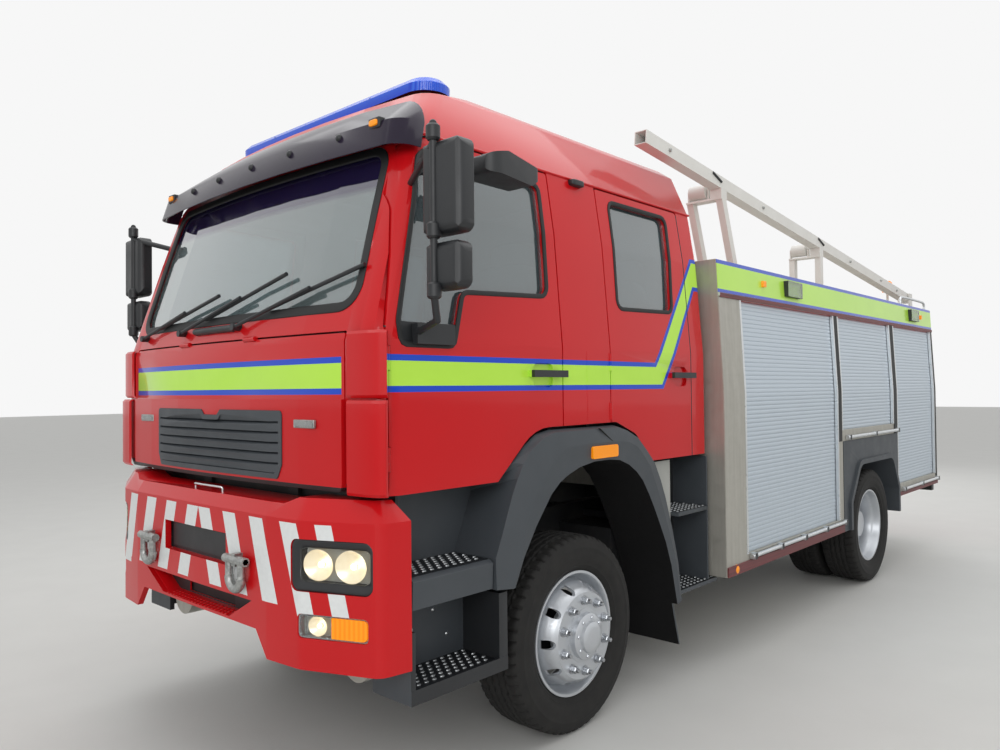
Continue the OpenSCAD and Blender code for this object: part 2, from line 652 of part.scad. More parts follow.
function flare_section(r) = let (x = front_axle_x, p = [for (k = [1:3]) [r[k][0] + x, flare_y[k - 1],
        r[k][1]]], a = r[0] + [x, 0, 0], lip = p[2], k = 0.08,
        a2 = [a[0] + (lip[0] - a[0]) * k, a[1], a[2] + (lip[2] - a[2]) * k],
        b2 = [p[0][0] + (lip[0] - p[0][0]) * k, p[0][1] - 12, p[0][2] + (lip[2] - p[0][2]) * k])
    [a, p[0], p[1], lip, lip - [0, 12, 0], p[1] - [0, 12, 0], b2, a2];
liner_outline = from_axle(concat([[530, 300, 0]], [for (r = flare_rows) [r[3][0], r[3][1], 0]],
    [[-823, 300, 0]]));
module front_arches() color(dark) both() {
    loft([for (r = flare_rows) flare_section(r)]);
    // Liner inside the lip, its mudflap, and its stays under the cab's wheel housing
    difference() {
        side_prism(rounded(inset(liner_outline, -12)), 812, 1150);
        side_prism(rounded(liner_outline), 811, 1151);
        span([front_axle_x, big], [700, 1200], [0, 805]);
        span([0, front_axle_x], [700, 1200], [0, 455]);
    }
    side_prism([for (p = [[-822, 460], [-836, 460], [-905, 208], [-894, 208]])
        [p[0] + front_axle_x, p[1]]], 775, 1120);
    for (x = [-260, 60]) span([front_axle_x + x, front_axle_x + x + 40], [950, 990],
        [1290, 1481 - fit]);
}

// Entry steps under the doors, behind the bumper and behind the arch
step_y = 1120;
module cab_steps() color(silver) both() {
    x = front_axle_x;
    // Back wall, moulded upper tread with its apron, lower tray with its end brackets
    span([x + 548, x + 1095], [890, 904], [488, 1245]);
    span([x + 652, x + 1095], [890, step_y], [926, 945]);
    front_prism([[step_y - 14, 945], [step_y, 945], [step_y + 22, 930], [step_y + 16, 822],
        [step_y + 4, 822], [step_y + 6, 920], [step_y - 14, 930]], x + 652, x + 1095);
    span([x + 548, x + 1095], [890, step_y], [488, 510]);
    span([x + 548, x + 1095], [step_y - 8, step_y + 6], [458, 516]);
    span([x + 548, x + 600], [890, step_y + 4], [458, 790]);
    span([x + 1070, x + 1095], [890, step_y + 4], [458, 735]);
    span([x + 600, x + 1095], [425, 890], [860, 900]);
    // Crew step: side walls, pale panel beside the arch, two treads
    span([x - 1256, x - 892], [880, 894], [488, 1245]);
    span([x - 1256, x - 1242], [894, step_y], [488, 1245]);
    span([x - 904, x - 892], [880, 1072], [488, 1245]);
    side_prism([for (p = [[-904, 500], [-904, 1245], [-650, 1245], [-700, 1060], [-770, 840],
        [-840, 560], [-850, 500]]) [p[0] + x, p[1]]], 1060, 1072);
    span([x - 1242, x - 904], [894, step_y + 5], [926, 950]);
    span([x - 1340, x - 904], [880, step_y + 10], [488, 510]);
    span([x - 1200, x - 940], [425, 880], [860, 900]);
}

// Frame and running gear
cross_rows = [1090, -1020, -2150, -3250, -4900, -5800];
module chassis_frame() color([0.1, 0.1, 0.1]) {
    x = [front_axle_x - 5860, front_axle_x + 1150];
    low = frame_high - rail_h;
    both() difference() {
        span(x, [frame_half_w - rail_flange, frame_half_w], [low, frame_high]);
        span([x[0] - 1, x[1] + 1], [frame_half_w - rail_flange - 1, frame_half_w - rail_t],
            [low + rail_t, frame_high - rail_t]);
    }
    for (c = cross_rows) span([front_axle_x + c, front_axle_x + c + 50],
        [-frame_half_w + rail_t, frame_half_w - rail_t], [low + 40, frame_high - 40]);
    // Engine mounts, cab mounts, and the subframe and outriggers of the body
    both() span([front_axle_x + 300, front_axle_x + 380], [325, frame_half_w - rail_t], [780, 840]);
    both() for (c = [-1240, 1060]) span([front_axle_x + c, front_axle_x + c + 70],
        [frame_half_w - rail_flange, frame_half_w], [frame_high, cab_bottom]);
    both() span([x[0], front_axle_x - 1310], [frame_half_w - 60, frame_half_w],
        [frame_high, frame_high + 50]);
    both() for (c = [-5200, -3100, -1500]) span([front_axle_x + c, front_axle_x + c + 60],
        [frame_half_w - rail_t, 585], [frame_high - 80, frame_high]);
}
module front_axle() color([0.12, 0.12, 0.12]) translate([front_axle_x, 0, tyre_r]) {
    difference() {
        union() {
            translate([0, 60 - kingpin_y, 0]) along_y() cylinder(h = 2 * kingpin_y - 120,
                r = front_tube_r, $fn = 48);
            both() translate([0, kingpin_y, -38]) cylinder(h = 76, r = 45, $fn = 48);
            both() span([-38, 38], [kingpin_y - 80, kingpin_y], [-38, 38]);
            translate([0, 150, 0]) sphere(r = 150, $fn = 48);
        }
        both() translate([0, kingpin_y, -60]) cylinder(h = 120, r = kingpin_r + fit, $fn = 48);
    }
}
module rear_axle() color([0.12, 0.12, 0.12]) translate([rear_axle_x, 0, tyre_r]) {
    translate([0, -580, 0]) along_y() cylinder(h = 1160, r = rear_tube_r, $fn = 48);
    translate([0, -1060, 0]) along_y() cylinder(h = 2120, r = stub_r, $fn = 48);
    sphere(r = 190, $fn = 48);
}
// Leaf springs: axle, middle across, half width, half length, bottom at the axle, thickness
spring_rows = [[front_axle_x, 388, 37, 690, tyre_r + front_tube_r, 62],
    [rear_axle_x, 462, 40, 760, tyre_r + rear_tube_r, 90]];
module leaf_springs() color([0.1, 0.1, 0.1]) both() for (s = spring_rows) {
    h = frame_high - rail_h;
    side_prism([[s[0] - 70, s[4]], [s[0] + 70, s[4]], [s[0] + s[3], h - 40], [s[0] + s[3], h],
        [s[0] + s[3] - 60, h], [s[0] + 70, s[4] + s[5]], [s[0] - 70, s[4] + s[5]],
        [s[0] - s[3] + 60, h], [s[0] - s[3], h], [s[0] - s[3], h - 40]],
        s[1] - s[2], s[1] + s[2]);
}
module engine_block() color([0.3, 0.31, 0.32])
    span([front_axle_x - 150, front_axle_x + 940], [-325, 325], [650, 1235]);
module radiator() color([0.15, 0.15, 0.16])
    span([front_axle_x + 1005, front_axle_x + 1090], [-340, 340], [720, 1235]);
module driveline() color([0.25, 0.25, 0.26]) {
    span([front_axle_x - 900, front_axle_x - 150], [-190, 190], [640, 1000]);
    span([front_axle_x - 880, front_axle_x - 620], [-190, 190], [480, 640]);
    bar([front_axle_x - 880, 0, 590], [rear_axle_x + 190.5, 0, tyre_r + 20], 45, 32);
    bar([front_axle_x - 620, 150, 560], [front_axle_x - 151.5, 150, tyre_r + 8], 38, 32);
}
module tanks() color([0.62, 0.64, 0.64]) {
    both() span([front_axle_x - 1250, front_axle_x - 700], [frame_half_w, 800], [520, 850]);
    both() {
        bar([front_axle_x + 620, 760, 560], [front_axle_x + 1080, 760, 560], 100, 40);
        for (x = [700, 900]) {
            span([front_axle_x + x, front_axle_x + x + 40], [frame_half_w, frame_half_w + 14],
                [540, 780]);
            span([front_axle_x + x, front_axle_x + x + 40], [frame_half_w, 720], [540, 570]);
        }
    }
}
module exhaust() color([0.55, 0.53, 0.5]) {
    bar([front_axle_x - 2900, -500, 620], [front_axle_x - 2000, -500, 620], 75, 40);
    bar([front_axle_x - 2000, -500, 620], [front_axle_x - 1300, -500, 620], 40);
    bar([front_axle_x - 3100, -500, 620], [front_axle_x - 2900, -500, 620], 40);
    for (x = [-2700, -2200]) span([front_axle_x + x, front_axle_x + x + 40],
        [-460, -frame_half_w], [600, 780]);
}

// Wheels, turned about their axle; t runs outwards from the middle of each rim
function rim_profile(t0) = [for (p = [[298, -112], [298, -105], [rim_r, -104], [rim_r, -70],
    [264, -50], [264, 30], [rim_r, 60], [rim_r, 104], [298, 105], [298, 112], [286, 112],
    [277, 100], [277, 66], [256, 36], [256, -56], [277, -76], [277, -100], [286, -112]])
    [p[0], p[1] * rim_w / 210 + t0]];
tyre_pts = [[rim_r + fit, -103], [300, -103.8], [309, -114], [380, -137.5], [442, -132],
    [tyre_r - 4, -112], [tyre_r, -98], [tyre_r, 98], [tyre_r - 4, 112], [442, 132],
    [380, 137.5], [309, 114], [300, 103.8], [rim_r + fit, 103], [rim_r + fit, 82],
    [330, 100], [400, 116], [440, 96], [450, 0], [440, -96], [400, -116], [330, -100],
    [rim_r + fit, -82]];
function tyre_profile(t0) = [for (p = tyre_pts) [p[0], p[1] * tyre_w / 275 + t0]];
module nuts(t) for (i = [0:nut_count - 1]) rotate([0, 0, 360 / nut_count * (i + 0.5)])
    translate([nut_circle_r, 0, t]) cylinder(h = 26, r = 17, $fn = 6);
module hand_holes(r, hole, t0, t1) for (i = [0:9]) rotate([0, 0, 36 * i])
    translate([r, 0, t0]) cylinder(h = t1 - t0, r = hole, $fn = 24);
module front_wheel_turned() difference() {
    union() {
        turned(rim_profile(0));
        turned([[258, 20], [258, 36], [241, 108], [222, 148], [204, 166], [110, 166],
            [110, 156], [198, 156], [212, 142], [230, 104], [248, 30], [250, 20]]);
        translate([0, 0, 66]) cylinder(h = 96, r = 138, $fn = 48);
        translate([0, 0, 100]) cylinder(h = 92, r = 92, $fn = 48);
        nuts(160);
    }
    hand_holes(232, 22, 90, 200);
    cylinder(h = 150, r = stub_r + fit, $fn = 48);
}
module rear_wheels_turned() difference() {
    h = pair_pitch / 2;
    union() {
        for (t = [-h, h]) turned(rim_profile(t));
        for (s = [-1, 1]) turned([for (p = [[262, h - 40], [262, h - 54], [232, 40], [200, 4],
            [100, 0], [100, 12], [194, 14], [222, 44], [250, h - 54], [254, h - 40]])
            [p[0], p[1] * s]]);
        translate([0, 0, -110]) cylinder(h = 300, r = 105, $fn = 48);
        nuts(12);
    }
    hand_holes(214, 20, -200, 200);
    translate([0, 0, -200]) cylinder(h = 360, r = stub_r + fit, $fn = 48);
}
module at_front_wheel(s) translate([front_axle_x, 0, tyre_r]) on_side(s)
    translate([0, front_wheel_y, 0]) along_y() children();
module at_rear_wheels(s) translate([rear_axle_x, 0, tyre_r]) on_side(s)
    translate([0, rear_pair_y, 0]) along_y() children();
module front_wheel(s) color(silver) at_front_wheel(s) front_wheel_turned();
module front_tyre(s) color([0.08, 0.08, 0.08]) at_front_wheel(s) turned(tyre_profile(0), 64);
module rear_wheels(s) color(silver) at_rear_wheels(s) rear_wheels_turned();
module rear_tyres(s) color([0.08, 0.08, 0.08]) at_rear_wheels(s)
    for (t = [-1, 1]) turned(tyre_profile(t * pair_pitch / 2), 64);
module knuckle(s) color([0.14, 0.14, 0.14]) translate([front_axle_x, 0, tyre_r]) on_side(s)
    translate([0, kingpin_y, 0]) {
        translate([0, 0, -80]) cylinder(h = 160, r = kingpin_r, $fn = 48);
        for (z = [42, -72]) {
            translate([0, 0, z]) cylinder(h = 30, r = 45, $fn = 48);
            span([-45, 45], [0, 66], [z, z + 30]);
        }
        span([-60, 60], [52, 66], [-90, 90]);
        translate([0, 66, 0]) along_y() cylinder(h = 140, r = stub_r, $fn = 48);
        translate([0, 58, 0]) along_y() cylinder(h = 8, r = 190, $fn = 48);
    }

// Pump body: side face across at a height, and its outline in front view
function body_y(z) = z < body_kink_z ? body_half_w
    : body_half_w - (z - body_kink_z) * (body_half_w - body_top_half_w) / (body_high - body_kink_z);
body_outline = [[-body_half_w, body_low], [body_half_w, body_low], [body_half_w, body_kink_z],
    [body_top_half_w, body_high], [-body_top_half_w, body_high], [-body_half_w, body_kink_z]];
module body_form() front_prism(body_outline, body_x0, body_x1);
// Lockers from the front axle: rear x, front x, bottom, top
locker_rows = [[-3190, -1575, 617, shutter_high], [-4580, -3265, 1310, shutter_high],
    [-5940, -4678, 751, shutter_high]];
module body_shell() color(red) difference() {
    body_form();
    both() for (l = locker_rows) span([front_axle_x + l[0], front_axle_x + l[1]],
        [body_half_w - locker_depth, big], [l[2], l[3]]);
    span([body_x0 - 1, body_x1 - 40], [-585, 585], [0, 2320]);
    span([body_x1 - 41, body_x1 + 1], [-585, 585], [0, 1000]);
    span([body_x0 + 60, body_x1 - 60], [-1110, 1110], [body_high - deck_drop, big]);
    both() span([front_axle_x - 1580, front_axle_x - 1340], [body_half_w - locker_depth, 1187],
        [560, shutter_high]);
    both() span([front_axle_x - 4669 - fit, front_axle_x - 3284 + fit], [560, big],
        [0, 1222 + fit]);
    both() span([body_x0 - 1, front_axle_x - 4669], [560, big], [0, 640]);
}
// Water tank of sheet over the frame, open at its lid
module water_tank() color([0.6, 0.62, 0.62]) difference() {
    span([front_axle_x - 4900, front_axle_x - 1500], [-560, 560], [1000, 2320]);
    span([front_axle_x - 4880, front_axle_x - 1520], [-540, 540], [1020, 2330]);
}
// One roller shutter in front view: slats with grooves between, following the side
function slats(z0, z1, off) =
    let (n = round((z1 - z0) / slat_pitch), p = (z1 - z0) / n)
    concat([for (i = [0:n - 1], k = [0:3]) let (z = z0 + p * (i + [0, 0.82, 0.84, 0.98][k]))
            [body_y(z) - off - (k > 1 ? slat_groove : 0), z]],
        [[body_y(z1) - off - shutter_t, z1], [body_y(body_kink_z) - off - shutter_t,
            body_kink_z], [body_y(z0) - off - shutter_t, z0]]);
module shutters() color([0.72, 0.76, 0.79]) both() for (l = locker_rows)
    front_prism(slats(l[2], l[3], 18), front_axle_x + l[0], front_axle_x + l[1]);
module shutter_rear() color([0.72, 0.76, 0.79])
    difference() {
        span([body_x0 + 20, body_x0 + 34], [-585, 585], [1000, 2320]);
        for (i = [1:28]) span([body_x0 + 19, body_x0 + 24], [-600, 600],
            [1000 + i * 45, 1000 + i * 45 + 6]);
    }
// Lift bars: rear x, front x, height, number of catches
bar_rows = [[-3282, -1609, 600, 5], [-4656, -3339, 1252, 3], [-5980, -4775, 700, 3]];
module shutter_bars() color([0.3, 0.3, 0.31]) both() for (b = bar_rows) {
    y = body_half_w + bar_r + 6;
    bar([front_axle_x + b[0], y, b[2]], [front_axle_x + b[1], y, b[2]], bar_r);
    for (i = [0:b[3] - 1]) let (x = front_axle_x + b[0] + 30 + (b[1] - b[0] - 60) * i / (b[3] - 1))
        span([x - 18, x + 18], [body_half_w + 0.5, y + bar_r + 4], [b[2] - 19, b[2] + 19]);
}
module body_sills() color([0.4, 0.1, 0.1]) both() {
    span([front_axle_x - 3268, front_axle_x - 1310], [body_half_w, body_half_w + 12], [519, 578]);
    span([front_axle_x - 5990, front_axle_x - 4690], [body_half_w, body_half_w + 12], [644, 678]);
    difference() {
        span([front_axle_x - 5990, front_axle_x - 1310], [1150, 1194], [2202, 2228]);
        body_form();
    }
}
arch_outer = [[-3284, 516, 0], [-3284, 1222, 0], [-4669, 1222, 0], [-4669, 516, 0]];
arch_inner = [[-3427, 400, 0], [-3427, 729, 60], [-3640, 1015, 120], [-4470, 1015, 120],
    [-4628, 729, 60], [-4628, 400, 0]];
module rear_arches() color(dark) both() {
    difference() {
        union() {
            side_prism(rounded(from_axle(arch_outer)), body_half_w - 22, body_half_w + 4);
            difference() {
                side_prism(rounded(inset(from_axle(arch_inner), -40), 5), body_half_w - 22,
                    body_half_w + 24);
                span([-big, big], [0, big], [0, 516]);
            }
        }
        side_prism(rounded(from_axle(arch_inner), 5), 1100, 1300);
    }
    difference() {
        side_prism(rounded(inset(from_axle(arch_inner), -12), 5), 600, body_half_w - 22);
        side_prism(rounded(from_axle(arch_inner), 5), 500, 1300);
        span([-big, big], [0, big], [0, 516]);
    }
}
// Lamps on the roof band: x of the middle from the front axle, length, z0, z1, depth
band_lamps = [[-2406, 250, 2280, 2389, 34], [-5340, 250, 2280, 2389, 34],
    [-1935, 40, 2314, 2354, 22], [-5599, 40, 2314, 2354, 22]];
module body_lamps() color([0.8, 0.82, 0.84]) {
    both() for (l = band_lamps) difference() {
        span([front_axle_x + l[0] - l[1] / 2, front_axle_x + l[0] + l[1] / 2], [1150, 1178 + l[4]],
            [l[2], l[3]]);
        body_form();
    }
    both() span([body_x0 - 30, body_x0], [900, 1120], [690, 860]);
}
module rear_step() color([0.3, 0.3, 0.3]) {
    difference() {
        union() {
            span([body_x0 - 76, body_x0 - 2], [-1160, 1160], [560, 640]);
            span([body_x0 - 74, front_axle_x - 5870], [-120, 120], [720, 860]);
            span([body_x0 - 60, body_x0 - 2], [-60, 60], [600, 860]);
            both() span([body_x0 - 20, front_axle_x - 5870], [426, 470], [600, 900]);
            span([front_axle_x - 5880, front_axle_x - 5860], [-470, 470], [600, 950]);
        }
        span([body_x0 - 75, body_x0 - 12], [-121, 121], [770, 810]);
        translate([body_x0 - 38, 0, 700]) cylinder(h = 200, r = tow_pin_r, $fn = 48);
    }
}
module rear_ladder() color(silver) {
    for (y = [-1080, -720]) {
        bar([body_x0 - 45, y, 900], [body_x0 - 45, y, 2560], 16);
        for (z = [960, 2300]) bar([body_x0, y, z], [body_x0 - 45, y, z], 12);
    }
    for (i = [0:5]) bar([body_x0 - 45, -1080, 950 + i * 270],
        [body_x0 - 45, -720, 950 + i * 270], 13);
}

// Square roof rail, hinged at its rear end. The pin's place from the front axle
rail_pin_x = -5990;
rail_pin_z = 2575;
rail_back = 82;
module roof_rail() color([0.93, 0.93, 0.91])
    translate([front_axle_x + rail_pin_x, rail_outer_y - rail_box, rail_pin_z])
    rotate([0, -rail_slope, 0]) difference() {
        translate([-rail_back, 0, -rail_box / 2]) cube([rail_len, rail_box, rail_box]);
        translate([-rail_back - 1, 5, 5 - rail_box / 2])
            cube([rail_len + 2, rail_box - 10, rail_box - 10]);
        translate([0, -1, 0]) along_y() cylinder(h = rail_box + 2, r = 16.3, $fn = 48);
    }
function rail_under(x) = rail_pin_z + (x - rail_pin_x) * tan(rail_slope)
    - rail_box / 2 / cos(rail_slope);
// Portals under the rail: x from the front axle, top of the plate, lean of its legs
portal_rows = [[-1797, 2919, 193], [-3520, 2735, 0]];
module rail_supports() color([0.9, 0.9, 0.88]) {
    deck = body_high - deck_drop;
    y0 = 725;
    y1 = 985;
    for (p = portal_rows) {
        x = front_axle_x + p[0];
        span([x - 40, x + 40], [y0, y1], [p[1] - 12, p[1]]);
        for (y = [y0, y1 - 45]) side_prism([[x - p[2] - 30, deck], [x - p[2] + 30, deck],
            [x + 30, p[1] - 12], [x - 30, p[1] - 12]], y, y + 45);
        side_prism([[x - 40, p[1]], [x + 40, p[1]], [x + 40, rail_under(p[0] + 40) - fit],
            [x - 40, rail_under(p[0] - 40) - fit]], rail_outer_y - rail_box, rail_outer_y);
        translate([x, y0 + 20, p[1] + 62]) along_y() cylinder(h = 120, r = 50, $fn = 40);
        for (y = [y0, y0 + 145]) span([x - 15, x + 15], [y, y + 12], [p[1], p[1] + 75]);
        translate([x, y0, p[1] + 62]) along_y() cylinder(h = 157, r = 12, $fn = 32);
    }
    x = front_axle_x + rail_pin_x;
    for (y = [rail_outer_y - rail_box - 17, rail_outer_y + 5])
        span([x - 40, x + 60], [y, y + 12], [body_high, rail_pin_z + 45]);
    span([x - 12, x + 60], [rail_outer_y - rail_box - 17, rail_outer_y + 17],
        [body_high, body_high + 8]);
    translate([x, rail_outer_y - rail_box - 17, rail_pin_z]) along_y()
        cylinder(h = rail_box + 34, r = 16, $fn = 48);
}

chassis_frame();
front_axle();
rear_axle();
leaf_springs();
driveline();
engine_block();
radiator();
tanks();
exhaust();
front_bumper();
headlamps();
tow_shackles();
cab_shell();
windscreen();
sun_visor();
light_bar();
wipers();
dashboard();
union() { steering_rim(); steering_column(); }  // steering_wheel
crew_seats();
front_arches();
cab_steps();
front_flap();
grille();
front_door_piece(1);  // door_front_left
pane(front_window);  // glass_front_left
union() { mirror_set(); kerb_mirror(); }  // mirrors_left
front_door_piece(-1);  // door_front_right
on_side(-1) pane(front_window);  // glass_front_right
on_side(-1) mirror_set();  // mirrors_right
rear_door_piece(1);  // door_rear_left
pane(rear_window);  // glass_rear_left
rear_door_piece(-1);  // door_rear_right
on_side(-1) pane(rear_window);  // glass_rear_right
body_shell();
water_tank();
shutters();
shutter_rear();
shutter_bars();
rear_arches();
body_sills();
body_lamps();
rear_step();
rear_ladder();
roof_rail();
rail_supports();
knuckle(1);  // knuckle_left
front_wheel(1);  // wheel_front_left
front_tyre(1);  // tyre_front_left
knuckle(-1);  // knuckle_right
front_wheel(-1);  // wheel_front_right
front_tyre(-1);  // tyre_front_right
rear_wheels(1);  // wheels_rear_left
rear_tyres(1);  // tyres_rear_left
rear_wheels(-1);  // wheels_rear_right
rear_tyres(-1);  // tyres_rear_right
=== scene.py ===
"""Finishes, trim and small parts of a crew-cab fire and rescue tender.

Lengths are metres in the frame's axes: +X forward, +Y to the vehicle's left, +Z up.
Places along the vehicle are written from the front axle, as on its drawing, and
`ahead` shifts them into the frame.
"""
import json
import math

import bmesh
import bpy
import numpy as np
from mathutils import Matrix, Vector

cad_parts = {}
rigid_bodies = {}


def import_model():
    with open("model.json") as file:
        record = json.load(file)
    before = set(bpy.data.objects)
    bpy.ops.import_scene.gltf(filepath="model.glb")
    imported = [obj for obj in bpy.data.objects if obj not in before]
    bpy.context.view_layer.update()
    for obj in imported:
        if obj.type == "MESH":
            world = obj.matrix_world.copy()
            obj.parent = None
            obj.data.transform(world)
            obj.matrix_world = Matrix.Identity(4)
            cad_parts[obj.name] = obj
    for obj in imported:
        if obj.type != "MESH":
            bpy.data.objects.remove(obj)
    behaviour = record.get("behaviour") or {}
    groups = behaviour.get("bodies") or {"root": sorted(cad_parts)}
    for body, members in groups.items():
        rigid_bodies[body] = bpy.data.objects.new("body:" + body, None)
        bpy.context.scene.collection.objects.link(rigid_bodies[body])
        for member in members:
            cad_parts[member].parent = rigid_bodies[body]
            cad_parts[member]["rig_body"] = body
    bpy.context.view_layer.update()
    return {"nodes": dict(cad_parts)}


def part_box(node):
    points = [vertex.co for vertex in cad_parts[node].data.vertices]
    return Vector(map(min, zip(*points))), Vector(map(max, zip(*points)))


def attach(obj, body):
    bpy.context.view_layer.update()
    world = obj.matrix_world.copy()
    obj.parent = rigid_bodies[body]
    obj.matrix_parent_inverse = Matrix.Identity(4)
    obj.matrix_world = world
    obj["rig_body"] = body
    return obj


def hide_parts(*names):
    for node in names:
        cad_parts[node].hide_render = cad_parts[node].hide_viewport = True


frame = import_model()
nodes = frame["nodes"]
X, Y, Z = np.eye(3)
TRUCK = "truck"
SIDES = (("left", 1), ("right", -1))


# Measures read from the frame
def middle(node):
    """Middle of a node's box."""
    low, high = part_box(node)
    return np.array((low + high) / 2)


AXLE = middle("tyre_front_left")[0]
REAR_AXLE = middle("tyres_rear_left")[0]
HUB = middle("tyre_front_left")[2]
TYRE_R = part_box("tyre_front_left")[1].z - HUB
BODY_REAR, BODY_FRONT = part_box("body_shell")[0].x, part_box("body_shell")[1].x
BODY_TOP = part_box("body_shell")[1].z


def ahead(x):
    """A place along the vehicle, given from the front axle."""
    return AXLE + x


# Forms of the cab and body, as the frame has them: height, then what is at it
CAB_ROWS = np.array([
    # height, front at the centre line, half width, corner radius
    [1.302, 1.300, 1.120, 0.110],
    [1.850, 1.300, 1.120, 0.110],
    [2.390, 1.135, 1.076, 0.105],
    [2.661, 1.050, 1.034, 0.100],
    [2.706, 1.022, 1.026, 0.100],
    [2.945, 0.865, 0.922, 0.110],
    [3.009, 0.640, 0.830, 0.120]])
CAB_CROWN = 0.055
BODY_KINK = 1.614


def cab_side(z):
    """Half width of the cab at a height."""
    return np.interp(z, CAB_ROWS[:, 0], CAB_ROWS[:, 2])


def cab_front(y, z):
    """Front of the cab: a parabola across, then a round corner."""
    front, half, radius = (np.interp(z, CAB_ROWS[:, 0], CAB_ROWS[:, k]) for k in (1, 2, 3))
    flat = half - radius
    across = np.minimum(np.abs(y), flat)
    past = np.clip(np.abs(y) - flat, 0, radius * 0.999)
    corner = np.sqrt(radius ** 2 - past ** 2) - radius
    return AXLE + front - CAB_CROWN * (across / flat) ** 2 + corner


def body_side(z):
    """Half width of the pump body at a height: upright, then leaning in."""
    return np.interp(z, [0.5, BODY_KINK, BODY_TOP], [1.212, 1.212, 1.172])


# Points and faces
def quads(rows, cols, loop_rows=False, loop_cols=False):
    """Four corners of each cell of a grid of points, whole arrays at once."""
    i = np.arange(rows if loop_rows else rows - 1)
    j = np.arange(cols if loop_cols else cols - 1)
    i, j = (k.ravel() for k in np.meshgrid(i, j, indexing="ij"))
    up, right = (i + 1) % rows, (j + 1) % cols
    return np.stack([i * cols + j, up * cols + j, up * cols + right, i * cols + right], 1)


def surface(grid, loop_rows=False, loop_cols=False, caps=False):
    """A grid of points (rows, columns, xyz) as points and faces; caps close its end rows."""
    rows, cols = grid.shape[:2]
    faces = quads(rows, cols, loop_rows, loop_cols).tolist()
    if caps:
        faces.append(list(range(cols))[::-1])
        faces.append(list(range((rows - 1) * cols, rows * cols)))
    return grid.reshape(-1, 3), faces


PLANES = {"x": (1, 2, 0), "y": (0, 2, 1), "z": (0, 1, 2)}


def lattice(across, up, along, axis="z"):
    """Points from two coordinates in the plane square to an axis and one along it, each spread
    over the whole grid; for the z axis they are x, y and z."""
    return np.stack(np.broadcast_arrays(across, up, along), -1)[..., np.argsort(PLANES[axis])]


def joined(*parts):
    """Several shapes as one."""
    starts = np.cumsum([0] + [len(p) for p, _ in parts])
    faces = [[i + s for i in q] for (_, f), s in zip(parts, starts) for q in f]
    return np.concatenate([p for p, _ in parts]), faces


def turned_over(part, side):
    """The shape itself on the left side, its mirror image on the right."""
    points, faces = part
    if side > 0:
        return part
    return points * [1, -1, 1], [q[::-1] for q in faces]


def both(part):
    """The shape and its mirror image."""
    return joined(part, turned_over(part, -1))


def rounded(rows, steps=6):
    """Closed outline from rows of across, up and corner radius: each corner is an arc between
    the points where it touches its two sides, turned from one radius to the other."""
    rows = np.array(rows, float)
    corner, radius = rows[:, :2], np.maximum(rows[:, 2], 0.0004)[:, None]
    a, b = np.roll(corner, 1, 0) - corner, np.roll(corner, -1, 0) - corner
    a /= np.linalg.norm(a, axis=1)[:, None]
    b /= np.linalg.norm(b, axis=1)[:, None]
    half = np.arccos(np.clip((a * b).sum(1), -1, 1))[:, None] / 2
    centre = corner + (a + b) / np.linalg.norm(a + b, axis=1)[:, None] * radius / np.sin(half)
    first, last = (corner + leg * radius / np.tan(half) - centre for leg in (a, b))
    sweep = np.pi - 2 * half
    t = np.linspace(0, 1, steps)[None, :, None]
    w = sweep[:, None]
    arcs = (np.sin((1 - t) * w) * first[:, None] + np.sin(t * w) * last[:, None]) / np.sin(w)
    return (centre[:, None] + arcs).reshape(-1, 2)


def box_outline(x0, x1, z0, z1, r):
    """Rows for `rounded`: a rectangle with one corner radius."""
    return [[x0, z0, r], [x1, z0, r], [x1, z1, r], [x0, z1, r]]


def resampled(path, step, loop=False):
    """The same path with a point every step along it."""
    path = np.array(path, float)
    if loop:
        path = np.vstack([path, path[:1]])
    run = np.concatenate([[0], np.cumsum(np.linalg.norm(np.diff(path, axis=0), axis=1))])
    count = max(2, int(run[-1] / step) + 1)
    at = np.linspace(0, run[-1], count + 1)[:-1] if loop else np.linspace(0, run[-1], count)
    return np.stack([np.interp(at, run, path[:, k]) for k in range(path.shape[1])], 1)


def smoothed(path, rounds=3):
    """An open path with its corners cut: each pass puts points at a quarter and three quarters
    of every leg and keeps the ends."""
    path = np.array(path, float)
    for _ in range(rounds):
        near, far = 0.75 * path[:-1] + 0.25 * path[1:], 0.25 * path[:-1] + 0.75 * path[1:]
        cut = np.stack([near, far], 1).reshape(-1, path.shape[1])
        path = np.vstack([path[:1], cut, path[-1:]])
    return path


def carry(path, profile, up, loop=False):
    """A profile (across, up) carried along a path: its up axis leans as `up` says, and its across
    axis is square to that and to the path."""
    path, profile = np.array(path, float), np.array(profile, float)
    if loop:
        along = np.roll(path, -1, 0) - np.roll(path, 1, 0)
    else:
        along = np.gradient(path, axis=0)
    along /= np.linalg.norm(along, axis=1)[:, None]
    across = np.cross(along, np.broadcast_to(up, path.shape))
    across /= np.linalg.norm(across, axis=1)[:, None]
    rise = np.cross(across, along)
    grid = path[:, None] + profile[None, :, :1] * across[:, None] + profile[None, :, 1:] * rise[:, None]
    return surface(grid, loop_rows=loop, loop_cols=True, caps=not loop)


def circle(radius, count):
    """Points evenly round a circle."""
    angle = np.linspace(0, 2 * np.pi, count, endpoint=False)
    return np.stack([np.cos(angle), np.sin(angle)], 1) * radius


def tube(path, radius, up, count=12):
    """A round bar along a path."""
    return carry(path, circle(radius, count), up)


def prism(outline, axis, t0, t1):
    """An outline in the plane square to an axis, drawn out along it from t0 to t1."""
    outline = np.array(outline, float)
    return surface(lattice(outline[:, 0], outline[:, 1], np.array([[t0], [t1]]), axis),
                   loop_cols=True, caps=True)


def block(x, y, z):
    """A box from its ranges."""
    return prism([[y[0], z[0]], [y[1], z[0]], [y[1], z[1]], [y[0], z[1]]], "x", *x)


